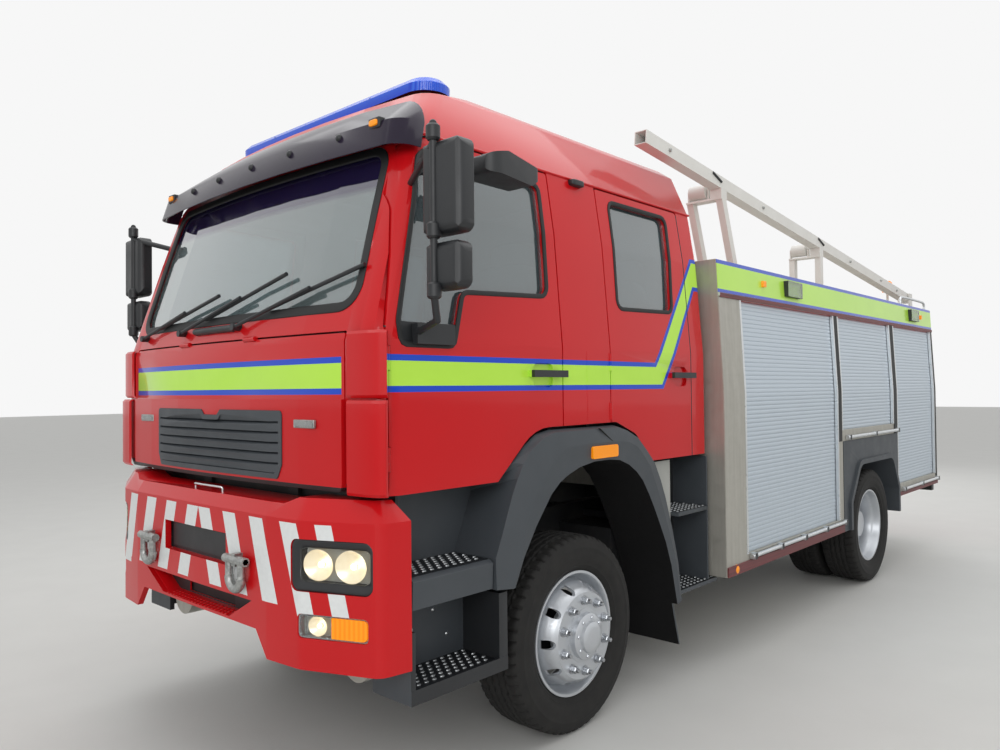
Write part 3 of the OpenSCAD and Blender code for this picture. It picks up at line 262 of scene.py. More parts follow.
def turned(profile, axis, centre, count=48):
    """A profile of (radius, along) rows turned about an axis through a centre."""
    radius, along = np.array(profile, float).T
    angle = np.linspace(0, 2 * np.pi, count, endpoint=False)[:, None]
    grid = lattice(radius * np.cos(angle), radius * np.sin(angle), along, axis)
    return surface(grid + np.array(centre), loop_rows=True)


def repeated(profile, places, count):
    """The same profile turned about Y at several places, as one shape."""
    return joined(*[turned(profile, "y", place, count) for place in places])


def pillow(centre, half, square=0.4, edge=0.4, rows=20, cols=36):
    """A rounded block: a sphere whose cosines and sines are raised to a power below one, which
    squares it off in plan (square) and towards its two ends (edge)."""
    v = np.linspace(-np.pi / 2, np.pi / 2, rows)[:, None]
    u = np.linspace(0, 2 * np.pi, cols, endpoint=False)[None]

    def power(t, p):
        return np.sign(t) * np.abs(t) ** p
    ring = power(np.cos(v), edge)
    grid = lattice(ring * power(np.cos(u), square) * half[0], ring * power(np.sin(u), square) * half[1],
                   power(np.sin(v), edge) * half[2])
    return surface(grid + np.array(centre), loop_cols=True)


# Objects. Points nearer than a merging distance are made one; faces within an angle of flat are
# made whole; edges sharper than an angle are bevelled. Metres and degrees
MERGE_NEW, MERGE_NODE, FLAT_WITHIN, BEVEL_PAST = 2e-6, 2e-5, 0.6, 40


def shown(name, mesh, finishes, body, slot, bevel, angle):
    """Finishes a mesh as a piece: smooth but for its sharp edges, with a small bevel on them."""
    obj = bpy.data.objects.new(name, mesh)
    bpy.context.scene.collection.objects.link(obj)
    for look in finishes:
        mesh.materials.append(look)
    mesh.polygons.foreach_set("use_smooth", np.ones(len(mesh.polygons), bool))
    mesh.set_sharp_from_angle(angle=math.radians(angle))
    if bevel:
        edge = obj.modifiers.new("edges", "BEVEL")
        edge.width = bevel
        edge.segments = 2
        edge.limit_method = "ANGLE"
        edge.angle_limit = math.radians(BEVEL_PAST)
        edge.harden_normals = True
        edge.use_clamp_overlap = True
    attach(obj, body)
    return obj


def piece(name, part, look, slot, body=TRUCK, bevel=0.0, angle=35, stands_for=()):
    """A new piece from points and faces, its doubles merged and its faces turned outwards."""
    points, faces = part
    mesh = bpy.data.meshes.new(name)
    mesh.from_pydata(points.tolist(), [], faces)
    work = bmesh.new()
    work.from_mesh(mesh)
    bmesh.ops.remove_doubles(work, verts=work.verts, dist=MERGE_NEW)
    bmesh.ops.recalc_face_normals(work, faces=work.faces)
    work.to_mesh(mesh)
    work.free()
    obj = shown(name, mesh, [look], body, slot, bevel, angle)
    if stands_for:
        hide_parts(*stands_for)
    return obj


def dress(node, finishes, bevel, angle, pick):
    """A copy of a frame node, merged and with flat faces made whole, given its finishes; pick
    says which one from each face's middle and direction."""
    source = nodes[node]
    mesh = source.data.copy()
    mesh.materials.clear()
    work = bmesh.new()
    work.from_mesh(mesh)
    bmesh.ops.remove_doubles(work, verts=work.verts, dist=MERGE_NODE)
    bmesh.ops.dissolve_limit(work, angle_limit=math.radians(FLAT_WITHIN), verts=work.verts,
                             edges=work.edges)
    work.to_mesh(mesh)
    work.free()
    obj = shown(node + "_finished", mesh, finishes, source["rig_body"], node, bevel, angle)
    if pick:
        count = len(mesh.polygons)
        at, facing = np.zeros(count * 3, np.float32), np.zeros(count * 3, np.float32)
        mesh.polygons.foreach_get("center", at)
        mesh.polygons.foreach_get("normal", facing)
        mesh.polygons.foreach_set("material_index", pick(at.reshape(-1, 3), facing.reshape(-1, 3)))
    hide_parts(node)
    return obj


# Materials
def linear(code):
    """sRGB hex as linear red, green, blue and alpha."""
    c = np.array([int(code[i:i + 2], 16) for i in (1, 3, 5)]) / 255
    return (*np.where(c <= 0.04045, c / 12.92, ((c + 0.055) / 1.055) ** 2.4).tolist(), 1.0)


def put(tree, kind, inputs=(), out=0, **settings):
    """Adds a shader node and gives one of its outputs: inputs are hex colours, values or other
    nodes' outputs, by place or by name."""
    node = tree.nodes.new("ShaderNode" + kind)
    for key, value in settings.items():
        setattr(node, key, value)
    for key, value in inputs.items() if isinstance(inputs, dict) else enumerate(inputs):
        if isinstance(value, bpy.types.NodeSocket):
            tree.links.new(value, node.inputs[key])
        else:
            node.inputs[key].default_value = linear(value) if isinstance(value, str) else value
    return node.outputs[out]


def reckoned(tree, value, *steps):
    """A value taken through steps of arithmetic: each is an operation and its other value."""
    for operation, *other in steps:
        value = put(tree, "Math", [value, *other], operation=operation)
    return value


def where(tree, *tests):
    """One where every test holds, else nought: each is a value, a comparison and a limit."""
    first, *rest = [reckoned(tree, value, (operation, limit)) for value, operation, limit in tests]
    return reckoned(tree, first, *[("MULTIPLY", held) for held in rest])


LUMP_ROUGHNESS = 0.55


def mottled(tree, place, size, detail, dark, pale):
    """A dark and a pale colour mixed in soft lumps about `size` metres across."""
    lumps = put(tree, "TexNoise", {"Vector": place, "Scale": 1 / size, "Detail": detail,
                                   "Roughness": LUMP_ROUGHNESS})
    return put(tree, "Mix", {0: lumps, 6: dark, 7: pale}, 2, data_type="RGBA")


def over(tree, shader, cover, colour):
    """Lays a colour over the one that the shader has, where the cover is one."""
    base = shader.inputs["Base Color"]
    under = base.links[0].from_socket
    tree.links.new(put(tree, "Mix", {0: cover, 6: under, 7: colour}, 2, data_type="RGBA"), base)


def raised(tree, shader, height, depth):
    """Relief of a depth in metres from a height between nought and one."""
    relief = put(tree, "Bump", {"Height": height, "Distance": depth, "Strength": 1.0})
    tree.links.new(relief, shader.inputs["Normal"])


def patterned(tree, shader, height, dark, pale, depth=0.0):
    """Colour, and relief where it has a depth, that follow one pattern: dark in its hollows."""
    tree.links.new(put(tree, "Mix", {0: height, 6: dark, 7: pale}, 2, data_type="RGBA"),
                   shader.inputs["Base Color"])
    if depth:
        raised(tree, shader, height, depth)


def prepared(name, base, rough, metal=0.0, tones=None, relief=None, sheen=None, drawn=None, **more):
    """A material with its constants on the shader's own sockets, and its object coordinates.
    Tones are the size of the lumps in metres, their detail, a dark and a pale colour; relief is
    size, detail and depth in metres; sheen is size, detail, and the least and most roughness.
    Drawn stretches the pattern along one way, as brushing and runs do."""
    material = bpy.data.materials.new(name)
    material.use_nodes = True
    tree = material.node_tree
    shader = tree.nodes["Principled BSDF"]
    more.update(Base_Color=base, Roughness=rough, Metallic=metal)
    for key, value in more.items():
        socket = shader.inputs[key.replace("_", " ")]
        socket.default_value = linear(value) if isinstance(value, str) else value
    place = put(tree, "TexCoord", out="Object")
    grain = put(tree, "Mapping", {"Vector": place, "Scale": drawn}) if drawn else place
    if tones:
        tree.links.new(mottled(tree, grain, *tones), shader.inputs["Base Color"])
    for spec in filter(None, (relief, sheen)):
        lumps = put(tree, "TexNoise", {"Vector": grain, "Scale": 1 / spec[0], "Detail": spec[1],
                                       "Roughness": LUMP_ROUGHNESS})
        if spec is relief:
            raised(tree, shader, lumps, spec[2])
        else:
            tree.links.new(put(tree, "MapRange", [lumps, 0.25, 0.75, *spec[2:]]),
                           shader.inputs["Roughness"])
    return material, tree, shader, place


def finish(*terms, **more):
    """A material that needs nothing past its tones, relief and sheen."""
    return prepared(*terms, **more)[0]


RED, GREEN, BLUE = "#CB1018", "#BDF04A", "#0B46C8"
RED_TONES, FILM_TONES = ("#C60E15", "#D0131A"), ("#B6EA44", "#C4F552")
# Baked enamel: a wet gloss over a faint orange peel, lumps of 9 mm
ENAMEL = dict(relief=(0.009, 1.0, 0.00004), Coat_Weight=0.5, Coat_Roughness=0.06, Coat_IOR=1.45,
              Specular_IOR_Level=0.15)
EDGE = 0.024
# Side stripe's edges: along and height of the lower bend, then of the upper bend
STRIPE_TOP = (-0.680, 1.795, -1.162, 2.425)
STRIPE_LOW = (-0.766, 1.651, -1.177, 2.232)
STRIPE_FACE, STRIPE_FRONT_END = 0.985, 1.215
FRONT_STRIPE = (1.644, 1.790)
FRONT_STRIPE_HALF, FRONT_STRIPE_FACE = 0.915, 1.12
BODY_BAND = (2.232, 2.430)


def stripe_edge(tree, along, row, inward):
    """Height of a stripe's edge: level, a slope between its bends, level again; moved inward by
    a distance square to it."""
    x0, z0, x1, z1 = row
    lean = abs(inward) * math.tan(math.atan2(z1 - z0, x0 - x1) / 2) * (1 if inward > 0 else -1)
    x0, x1 = ahead(x0) + lean, ahead(x1) + lean
    return put(tree, "MapRange", [along, x1, x0, z1 + inward, z0 + inward])


def body_paint():
    """Two-pack acrylic enamel sprayed and baked: a clear deep red with a wet gloss and a faint
    orange peel. The stripes are cut retroreflective film laid under the same gloss: blue, and
    yellow-green inside its edges."""
    material, tree, shader, place = prepared("two_pack_red_paint", RED, 0.34,
                                             tones=(0.7, 3.0, *RED_TONES), **ENAMEL)
    x, y, z = put(tree, "SeparateXYZ", [place]).node.outputs
    wide = reckoned(tree, y, ("ABSOLUTE",))
    film = mottled(tree, place, 0.25, 3.0, *FILM_TONES)
    for step, colour in ((0.0, BLUE), (EDGE, film)):
        side = where(tree, (wide, "GREATER_THAN", STRIPE_FACE), (x, "GREATER_THAN", BODY_FRONT),
                     (x, "LESS_THAN", ahead(STRIPE_FRONT_END)),
                     (z, "LESS_THAN", stripe_edge(tree, x, STRIPE_TOP, -step)),
                     (z, "GREATER_THAN", stripe_edge(tree, x, STRIPE_LOW, step)))
        front = where(tree, (z, "GREATER_THAN", FRONT_STRIPE[0] + step),
                      (z, "LESS_THAN", FRONT_STRIPE[1] - step),
                      (wide, "LESS_THAN", FRONT_STRIPE_HALF),
                      (x, "GREATER_THAN", ahead(FRONT_STRIPE_FACE)))
        over(tree, shader, reckoned(tree, side, ("MAXIMUM", front)), colour)
    return material


def band_film():
    """Retroreflective film on an aluminium fascia: yellow-green between narrow blue edges,
    smooth, with the faint cells of its prisms."""
    material, tree, shader, place = prepared("reflective_band_film", GREEN, 0.35,
                                             tones=(0.25, 3.0, *FILM_TONES),
                                             relief=(0.004, 1.0, 0.00003), Coat_Weight=0.5,
                                             Coat_Roughness=0.08)
    z = put(tree, "SeparateXYZ", [place], 2)
    low, high = BODY_BAND
    for edge in ((z, "LESS_THAN", low + 0.020), (z, "GREATER_THAN", high - 0.024)):
        over(tree, shader, where(tree, edge), BLUE)
    return material


def bumper_paint():
    """The same red enamel on the steel bumper, with white film in stripes that lean outwards
    going down, in a V about a line just left of the middle."""
    material, tree, shader, place = prepared("two_pack_red_bumper", RED, 0.34,
                                             tones=(0.5, 3.0, *RED_TONES), **ENAMEL)
    x, y, z = put(tree, "SeparateXYZ", [place]).node.outputs
    pitch, width, lean, first, count = 0.212, 0.101, 0.305, 0.403, 4.7
    point_y, bend_y, film_top, film_back, film_half = 0.045, 0.8, 1.152, 1.15, 1.09
    wide = reckoned(tree, y, ("ABSOLUTE",))
    away = reckoned(tree, y, ("SUBTRACT", point_y), ("ABSOLUTE",))
    bend = reckoned(tree, wide, ("SUBTRACT", bend_y), ("MAXIMUM", 0.0), ("MULTIPLY", 0.5))
    phase = reckoned(tree, z, ("MULTIPLY", lean), ("ADD", away), ("ADD", bend),
                     ("SUBTRACT", first - width / 2), ("DIVIDE", pitch))
    film_low = put(tree, "MapRange", [wide, 0.70, 0.701, 0.826, 0.800])
    facing = put(tree, "SeparateXYZ", [put(tree, "NewGeometry", out="True Normal")])
    stripes = where(tree, (reckoned(tree, phase, ("FRACT",)), "LESS_THAN", width / pitch),
                    (phase, "LESS_THAN", count), (z, "GREATER_THAN", film_low),
                    (z, "LESS_THAN", film_top), (x, "GREATER_THAN", ahead(film_back)),
                    (wide, "LESS_THAN", film_half), (facing, "GREATER_THAN", 0.6))
    over(tree, shader, stripes, mottled(tree, place, 0.02, 3.0, "#DDE0E0", "#EDF0F0"))
    return material


def moulded_plastic(name, base, pale, rough):
    """Grained injection-moulded ABS: satin, with a fine leathery grain that greys where light
    rakes over it."""
    return finish(name, base, rough, tones=(0.3, 3.0, base, pale), relief=(0.0025, 2.0, 0.00012),
                  sheen=(0.12, 3.0, rough - 0.06, rough + 0.08))


def chassis_paint():
    """Black chassis enamel over rolled steel: satin, with a thin film of road dust."""
    material, tree, shader, place = prepared("black_chassis_enamel", "#17181A", 0.5,
                                             relief=(0.004, 3.0, 0.0001))
    lumps = put(tree, "TexNoise", {"Vector": place, "Scale": 1 / 0.15, "Detail": 5.0,
                                   "Roughness": LUMP_ROUGHNESS})
    dust = put(tree, "MapRange", [lumps, 0.5, 0.8, 0.0, 0.35])
    patterned(tree, shader, dust, "#17181A", "#4A4640")
    return material


def bare_sheet():
    """Mill-finish aluminium sheet, folded and weathered: pale warm grey, dull, with faint runs
    down it."""
    material, tree, shader, place = prepared("mill_aluminium_sheet", "#B1AFA6", 0.5, 0.55,
                                             relief=(0.05, 3.0, 0.0003),
                                             sheen=(0.05, 4.0, 0.42, 0.62))
    runs = put(tree, "Mapping", {"Vector": place, "Scale": (1.0, 1.0, 0.08)})
    tree.links.new(mottled(tree, runs, 0.03, 4.0, "#A29F96", "#BDBBB3"),
                   shader.inputs["Base Color"])
    return material


def screen_glass():
    """Laminated windscreen: almost clear, with a sky-grey sheen and a violet shade band at
    the top."""
    material, tree, shader, place = prepared("laminated_windscreen", "#B5C6C8", 0.02,
                                             tones=(0.8, 1.0, "#A3B7BA", "#B9CACB"), IOR=1.52,
                                             Transmission_Weight=0.78, Coat_Weight=1.0,
                                             Coat_Roughness=0.01, Coat_IOR=1.85)
    height = put(tree, "SeparateXYZ", [place], 2)
    over(tree, shader, put(tree, "MapRange", [height, 2.470, 2.500, 0.0, 1.0]), "#4B3F7C")
    return material


def lens(name, base, pale, clear=0.55, lit=0.0):
    """Moulded polycarbonate lens with prisms on its back, seen as fine upright ribs."""
    glow = dict(Emission_Color=base, Emission_Strength=lit) if lit else {}
    material, tree, shader, place = prepared(name, base, 0.12, IOR=1.5, Transmission_Weight=clear,
                                             Specular_IOR_Level=0.4, **glow)
    ribs = put(tree, "TexWave", {"Vector": place, "Scale": 40.0, "Distortion": 0.0}, "Fac",
               wave_type="BANDS", bands_direction="X")
    patterned(tree, shader, ribs, base, pale, 0.0006)
    return material


def zinc_plate():
    """Hot-dip galvanised forging: grey, blotched with soft spangle about 11 mm across."""
    material, tree, shader, place = prepared("galvanised_steel", "#A6A8A6", 0.42, 0.85)
    spangle = put(tree, "TexVoronoi", {"Vector": place, "Scale": 90.0}, "Color")
    grey = put(tree, "RGBToBW", [spangle])
    patterned(tree, shader, grey, "#8F9190", "#B9BBB8")
    tree.links.new(put(tree, "MapRange", [grey, 0.25, 0.75, 0.34, 0.52]),
                   shader.inputs["Roughness"])
    return material


def seat_cloth():
    """Woven wool moquette: charcoal with a fine diagonal weave of 3 mm, drawn coarse enough
    to show."""
    material, tree, shader, place = prepared("woven_seat_cloth", "#2B2F36", 0.9, Sheen_Weight=0.35,
                                             Sheen_Roughness=0.5)
    weave = put(tree, "TexWave", {"Vector": place, "Scale": 105.0, "Distortion": 0.4}, "Fac",
                wave_type="BANDS", bands_direction="DIAGONAL")
    patterned(tree, shader, weave, "#23272D", "#3A3F48", 0.0004)
    return material


def grip_tread():
    """Punched steel tread, black stove enamel, paler on its teeth, partly worn bright and partly a
    painted highlight on their tops: rows of round studs 22 mm apart."""
    material, tree, shader, place = prepared("punched_grip_tread", "#26282B", 0.45, 0.4)
    away = put(tree, "TexVoronoi", {"Vector": place, "Scale": 46.0, "Randomness": 0.0},
               "Distance", feature="F1")
    # Paler on the teeth's tops: partly wear, partly painted highlight
    peak = put(tree, "MapRange", [away, 0.15, 0.4, 1.0, 0.0])
    patterned(tree, shader, peak, "#202225", "#6A6D70", 0.002)
    return material


def spray_fleece():
    """Spray-suppressing flap: black extruded mat of short coarse bristles."""
    material, tree, shader, place = prepared("bristled_spray_flap", "#0C0C0D", 0.95,
                                             Specular_IOR_Level=0.25)
    fur = put(tree, "TexNoise", {"Vector": place, "Scale": 1 / 0.006, "Detail": 6.0,
                                 "Roughness": 0.75})
    patterned(tree, shader, fur, "#060607", "#1C1C1D", 0.004)
    return material


def rusty_cast(name, dark, pale, rough=0.7):
    """Sand-cast or heat-stained iron: rough skin with brown and grey patches."""
    return finish(name, dark, rough, 0.4, tones=(0.05, 5.0, dark, pale),
                  relief=(0.004, 3.0, 0.0004))


red_paint = body_paint()
bumper_red = bumper_paint()
band_livery = band_film()
grey_plastic = moulded_plastic("moulded_grey_plastic", "#3A3F44", "#474C51", 0.52)
black_plastic = moulded_plastic("moulded_black_plastic", "#1E2022", "#2A2C2F", 0.45)
pale_plastic = moulded_plastic("moulded_pale_plastic", "#A3A49F", "#B0B1AC", 0.5)
trim_plastic = moulded_plastic("soft_grey_cab_trim", "#4B4E52", "#585B5F", 0.6)
chassis_black = chassis_paint()
bare_aluminium = bare_sheet()
front_glass = screen_glass()
amber_lens = lens("amber_lens", "#FF8E00", "#FFA61A", 0.1, 0.22)
clear_lens = lens("clear_lens", "#DDE4E8", "#F4F7F8", 0.8)
blue_lens = lens("blue_beacon_lens", "#1447D8", "#3B78F4", 0.2, 0.12)
red_lens = lens("red_lens", "#B00A10", "#DE2A2E", 0.2)
galvanised = zinc_plate()
cloth = seat_cloth()
tread_steel = grip_tread()
cast_iron = rusty_cast("cast_iron_grey", "#3E4144", "#565A5D")
stained_steel = rusty_cast("heat_stained_steel", "#6B5F52", "#8F857A", 0.55)
fleece = spray_fleece()
# Satin anodised aluminium extrusions: pale blue-grey metal, brushed along each slat
slat_metal = finish("satin_anodised_aluminium", "#C3CDD6", 0.42, 0.65, drawn=(0.02, 1.0, 1.0),
                    tones=(0.003, 4.0, "#B9C4CE", "#CBD4DC"), sheen=(0.003, 3.0, 0.36, 0.5))
# Bright anodised guide rails and edge trims: clean silver with a soft sheen
bright_trim = finish("bright_anodised_trim", "#D5D8DA", 0.3, 0.9,
                     tones=(0.1, 3.0, "#C8CBCD", "#DEE1E3"), sheen=(0.03, 3.0, 0.24, 0.4))
# Silver wheel lacquer on pressed steel: fine metal flake under a soft gloss
wheel_silver = finish("silver_wheel_lacquer", "#BFC3C8", 0.36, 0.55, Coat_Weight=0.5,
                      Coat_Roughness=0.15, tones=(0.0012, 1.0, "#B2B6BB", "#CDD1D6"),
                      relief=(0.006, 2.0, 0.00008))
# Vulcanised tread rubber: near black, matt, browner where the road has scuffed it
rubber = finish("tyre_rubber", "#1D1D1E", 0.78, Specular_IOR_Level=0.35,
                tones=(0.06, 5.0, "#171718", "#2A2927"), relief=(0.003, 3.0, 0.0002))
# Extruded EPDM seal: soft black with a dull sheen
seal_rubber = finish("extruded_rubber_seal", "#141516", 0.6, tones=(0.04, 3.0, "#111213", "#1C1D1E"),
                     relief=(0.002, 3.0, 0.00005))
# Toughened side glass, grey: it mirrors a pale sky and lets little of the dark cab through
side_glass = finish("tinted_side_glass", "#7C9096", 0.02, IOR=1.52, Transmission_Weight=0.72,
                    Coat_Weight=1.0, Coat_Roughness=0.01, Coat_IOR=1.9,
                    tones=(0.8, 1.0, "#6F8288", "#88999D"))
# Smoked acrylic sheet, drape-formed: violet grey, glossy, half seen through
visor_acrylic = finish("smoked_acrylic_visor", "#2A2234", 0.16, IOR=1.38, Transmission_Weight=0.25,
                       Specular_IOR_Level=0.35, tones=(0.5, 1.0, "#241D2E", "#33293F"))
# Clear hard-coated polycarbonate over the lamps: smooth, all but invisible except for its gloss
lamp_glass = finish("clear_lamp_cover", "#F4F7F8", 0.01, IOR=1.3, Transmission_Weight=1.0,
                    tones=(0.05, 1.0, "#EEF2F3", "#F8FAFA"))
# Metallised reflector with its lamp on: warm white, brighter in soft streaks
lit_metal = finish("lit_reflector", "#F3E9D2", 0.25, 0.5, Emission_Color="#FFE2AE",
                   Emission_Strength=0.42, tones=(0.02, 3.0, "#E9DDC2", "#FBF4E4"))
# Glowing halogen bulb behind its glass, warm white
bulb_light = finish("halogen_bulb", "#FFF3DA", 0.3, Emission_Color="#FFE9BF",
                    Emission_Strength=3.0, tones=(0.01, 3.0, "#FFF3DA", "#FFFBEF"))
# Vacuum-metallised reflector: mirror bright, a little clouded
mirror_metal = finish("metallised_reflector", "#F2F1EC", 0.08, 1.0, sheen=(0.02, 3.0, 0.05, 0.14))
# Galvanised studs on a step: dull grey, paler in lumps: partly worn where boots rub, partly painted
# highlight
studs_worn_and_highlit = finish("worn_step_studs", "#8C8F91", 0.42, 0.8, tones=(0.04, 4.0, "#5E6163", "#B4B7B9"),
                    sheen=(0.02, 3.0, 0.3, 0.55))
# Bright zinc plating on forged wheel nuts
wheel_nut_metal = finish("plated_wheel_nuts", "#A9ACB0", 0.3, 0.9,
                         tones=(0.01, 3.0, "#8E9195", "#C2C5C9"))
# White enamel on welded steel tube, a little chalked
white_paint = finish("white_steel_enamel", "#E4E3DE", 0.36, tones=(0.2, 5.0, "#D8D6CF", "#EAE9E5"),
                     relief=(0.01, 3.0, 0.00008))
# Red oxide enamel on the sill, scuffed to dark primer in lines along it
sill_enamel = finish("scuffed_sill_enamel", "#5B2A2C", 0.5, drawn=(0.03, 1.0, 1.0),
                     tones=(0.012, 4.0, "#3A2A2C", "#8A3A3C"), relief=(0.006, 3.0, 0.0004))


# Camera, floor and light
CAMERA_AT = (5.3839, 3.4051, 1.6604)
CAMERA_TURN, CAMERA_RISE, CAMERA_ROLL = 3.8844785, 0.0175021, -0.0099194
CAMERA_LENS = 28.289
LIGHT_OF_SKY, SKY_AS_SEEN, FLOOR_REACH = 0.56, 0.93, 60.0
# Name, place, what it is turned to, its size, and its power in watts
LAMPS = (("overhead", (0.5, 0.5, 7.5), (0, 0, 1), (12, 8), 300),
         ("front_left", (9.5, 6.5, 4.5), (1.5, 0, 1.4), (6, 4), 270),
         ("rear_fill", (-9, -5, 4.5), (-1, 0, 1.2), (6, 4), 200))


def make_camera():
    """The photograph's place and direction; roll turns the picture about the line of sight."""
    turn, rise, roll = CAMERA_TURN, CAMERA_RISE, CAMERA_ROLL
    ahead_of = Vector((math.cos(turn) * math.cos(rise), math.sin(turn) * math.cos(rise),
                       math.sin(rise)))
    right = ahead_of.cross(Vector((0, 0, 1))).normalized()
    up = right.cross(ahead_of)
    across = math.cos(roll) * right + math.sin(roll) * up
    over_it = math.cos(roll) * up - math.sin(roll) * right
    camera = bpy.data.objects.new("camera", bpy.data.cameras.new("camera"))
    camera.data.lens = CAMERA_LENS
    camera.data.clip_end = 400
    turned_to = Matrix((across, over_it, -ahead_of)).transposed().to_4x4()
    camera.matrix_world = Matrix.Translation(CAMERA_AT) @ turned_to
    bpy.context.scene.collection.objects.link(camera)
    bpy.context.scene.camera = camera


def lamp(name, place, target, size, power):
    """A white area light of a size in metres and a power in watts, turned to its target."""
    data = bpy.data.lights.new(name, "AREA")
    data.shape, data.size, data.size_y = "RECTANGLE", *size
    data.energy = power
    obj = bpy.data.objects.new(name, data)
    obj.location = place
    obj.rotation_euler = (Vector(target) - Vector(place)).to_track_quat("-Z", "Y").to_euler()
    bpy.context.scene.collection.objects.link(obj)


def make_studio():
    """Pale floor and sky, a broad light from above and a softer one from the viewer's side."""
    world = bpy.data.worlds.new("studio")
    bpy.context.scene.world = world
    world.use_nodes = True
    tree = world.node_tree
    tree.nodes.clear()
    ray = put(tree, "LightPath").node.outputs
    seen = reckoned(tree, ray["Is Glossy Ray"], ("MAXIMUM", ray["Is Transmission Ray"]),
                    ("MAXIMUM", ray["Is Camera Ray"]))
    strength = put(tree, "MapRange", [seen, 0.0, 1.0, LIGHT_OF_SKY, SKY_AS_SEEN])
    sky = put(tree, "Background", {"Color": (1, 1, 1, 1), "Strength": strength})
    tree.links.new(sky, tree.nodes.new("ShaderNodeOutputWorld").inputs[0])
    mesh = bpy.data.meshes.new("floor")
    mesh.from_pydata([(x * FLOOR_REACH, y * FLOOR_REACH, 0)
                      for x, y in ((-1, -1), (1, -1), (1, 1), (-1, 1))], [], [(0, 1, 2, 3)])
    mesh.materials.append(finish("pale_studio_floor", "#D6D6D3", 0.6,
                                 tones=(0.4, 4.0, "#D2D2CF", "#DADAD7")))
    floor = bpy.data.objects.new("floor", mesh)
    bpy.context.scene.collection.objects.link(floor)
    for terms in LAMPS:
        lamp(*terms)


bpy.context.scene.view_settings.view_transform = "Standard"
make_camera()
make_studio()


# Where a frame node's finish changes, from each face's middle and direction
def cab_parts(at, facing):
    """Paint; black plastic on the arch lips and the low undersides; trim inside, up to the
    head lining."""
    x, y, z, skin = at[:, 0], np.abs(at[:, 1]), at[:, 2], 0.045
    black = (y > 1.135) | (facing[:, 2] < -0.3) & (z < 1.52)
    inside = ((y < cab_side(z) - skin) & (x < cab_front(y, z) - skin) & (x > ahead(-1.240))
              & (z > 1.31) & ((facing[:, 2] < 0.2) | (z < 2.60)))
    return np.select([black, inside], [1, 2], 0)


def bumper_parts(at, facing):
    """Paint; black plastic behind the plate and in the mouth below it."""
    x, y, z = at[:, 0] - AXLE, np.abs(at[:, 1]), at[:, 2]
    behind_plate = (x < 1.345) & (y < 0.34) & (z > 0.91) & (z < 1.07)
    mouth = (x < 1.36) & (y < 0.3) & (facing[:, 0] > 0.9)
    return np.where(behind_plate | mouth, 1, 0)


def tank_parts(at, facing):
    """Aluminium ahead of the front axle, black behind it."""
    return np.where(at[:, 0] < AXLE, 1, 0)


def light_bar_parts(at, facing):
    """Blue, on a black foot 14 mm high."""
    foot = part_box("light_bar")[0].z + 0.014
    return np.where((facing[:, 2] < -0.5) | (at[:, 2] < foot), 1, 0)


def arch_parts(at, facing):
    """Grey moulding; the liner and the flap behind the wheel are bristle mat."""
    return np.where((np.abs(at[:, 1]) < 1.10) & (at[:, 0] < ahead(0.5)) & (at[:, 2] < 1.30), 1, 0)


def step_parts(at, facing):
    """Treads on top, black brackets and back walls, the pale panel beside the arch."""
    x, y, z = at[:, 0] - AXLE, np.abs(at[:, 1]), at[:, 2]
    tread = (facing[:, 2] > 0.8) & (z > 0.5) & (z < 0.96) & (y < 1.13)
    pale = (x < -0.64) & (x > -0.91) & (y > 1.058) & (y < 1.074)
    black = (x > 0) & (z < 0.80) | (x < -0.89) & (y < 0.9)
    return np.select([tread, pale, black], [1, 2, 3], 0)


def lift_bar_parts(at, facing):
    """A bright bar between black end brackets."""
    return np.where(np.abs(np.abs(at[:, 1]) - 1.231) > 0.014, 1, 0)


def body_parts(at, facing):
    """Painted ends and roof edges; bare sheet on the sides, the front and the deck."""
    side = (at[:, 2] < 2.2) & (np.abs(facing[:, 0]) < 0.9)
    return np.where(side | (facing[:, 0] > 0.9) | (facing[:, 2] > 0.5), 1, 0)


def body_lamp_parts(at, facing):
    """Red at the rear, amber markers, clear side faces, black shells."""
    rear = at[:, 0] < BODY_REAR
    amber = np.min([np.abs(at[:, 0] - ahead(x)) for x in (-1.935, -5.599)], 0) < 0.03
    return np.select([rear, amber, np.abs(facing[:, 1]) > 0.9], [2, 1, 3], 0)


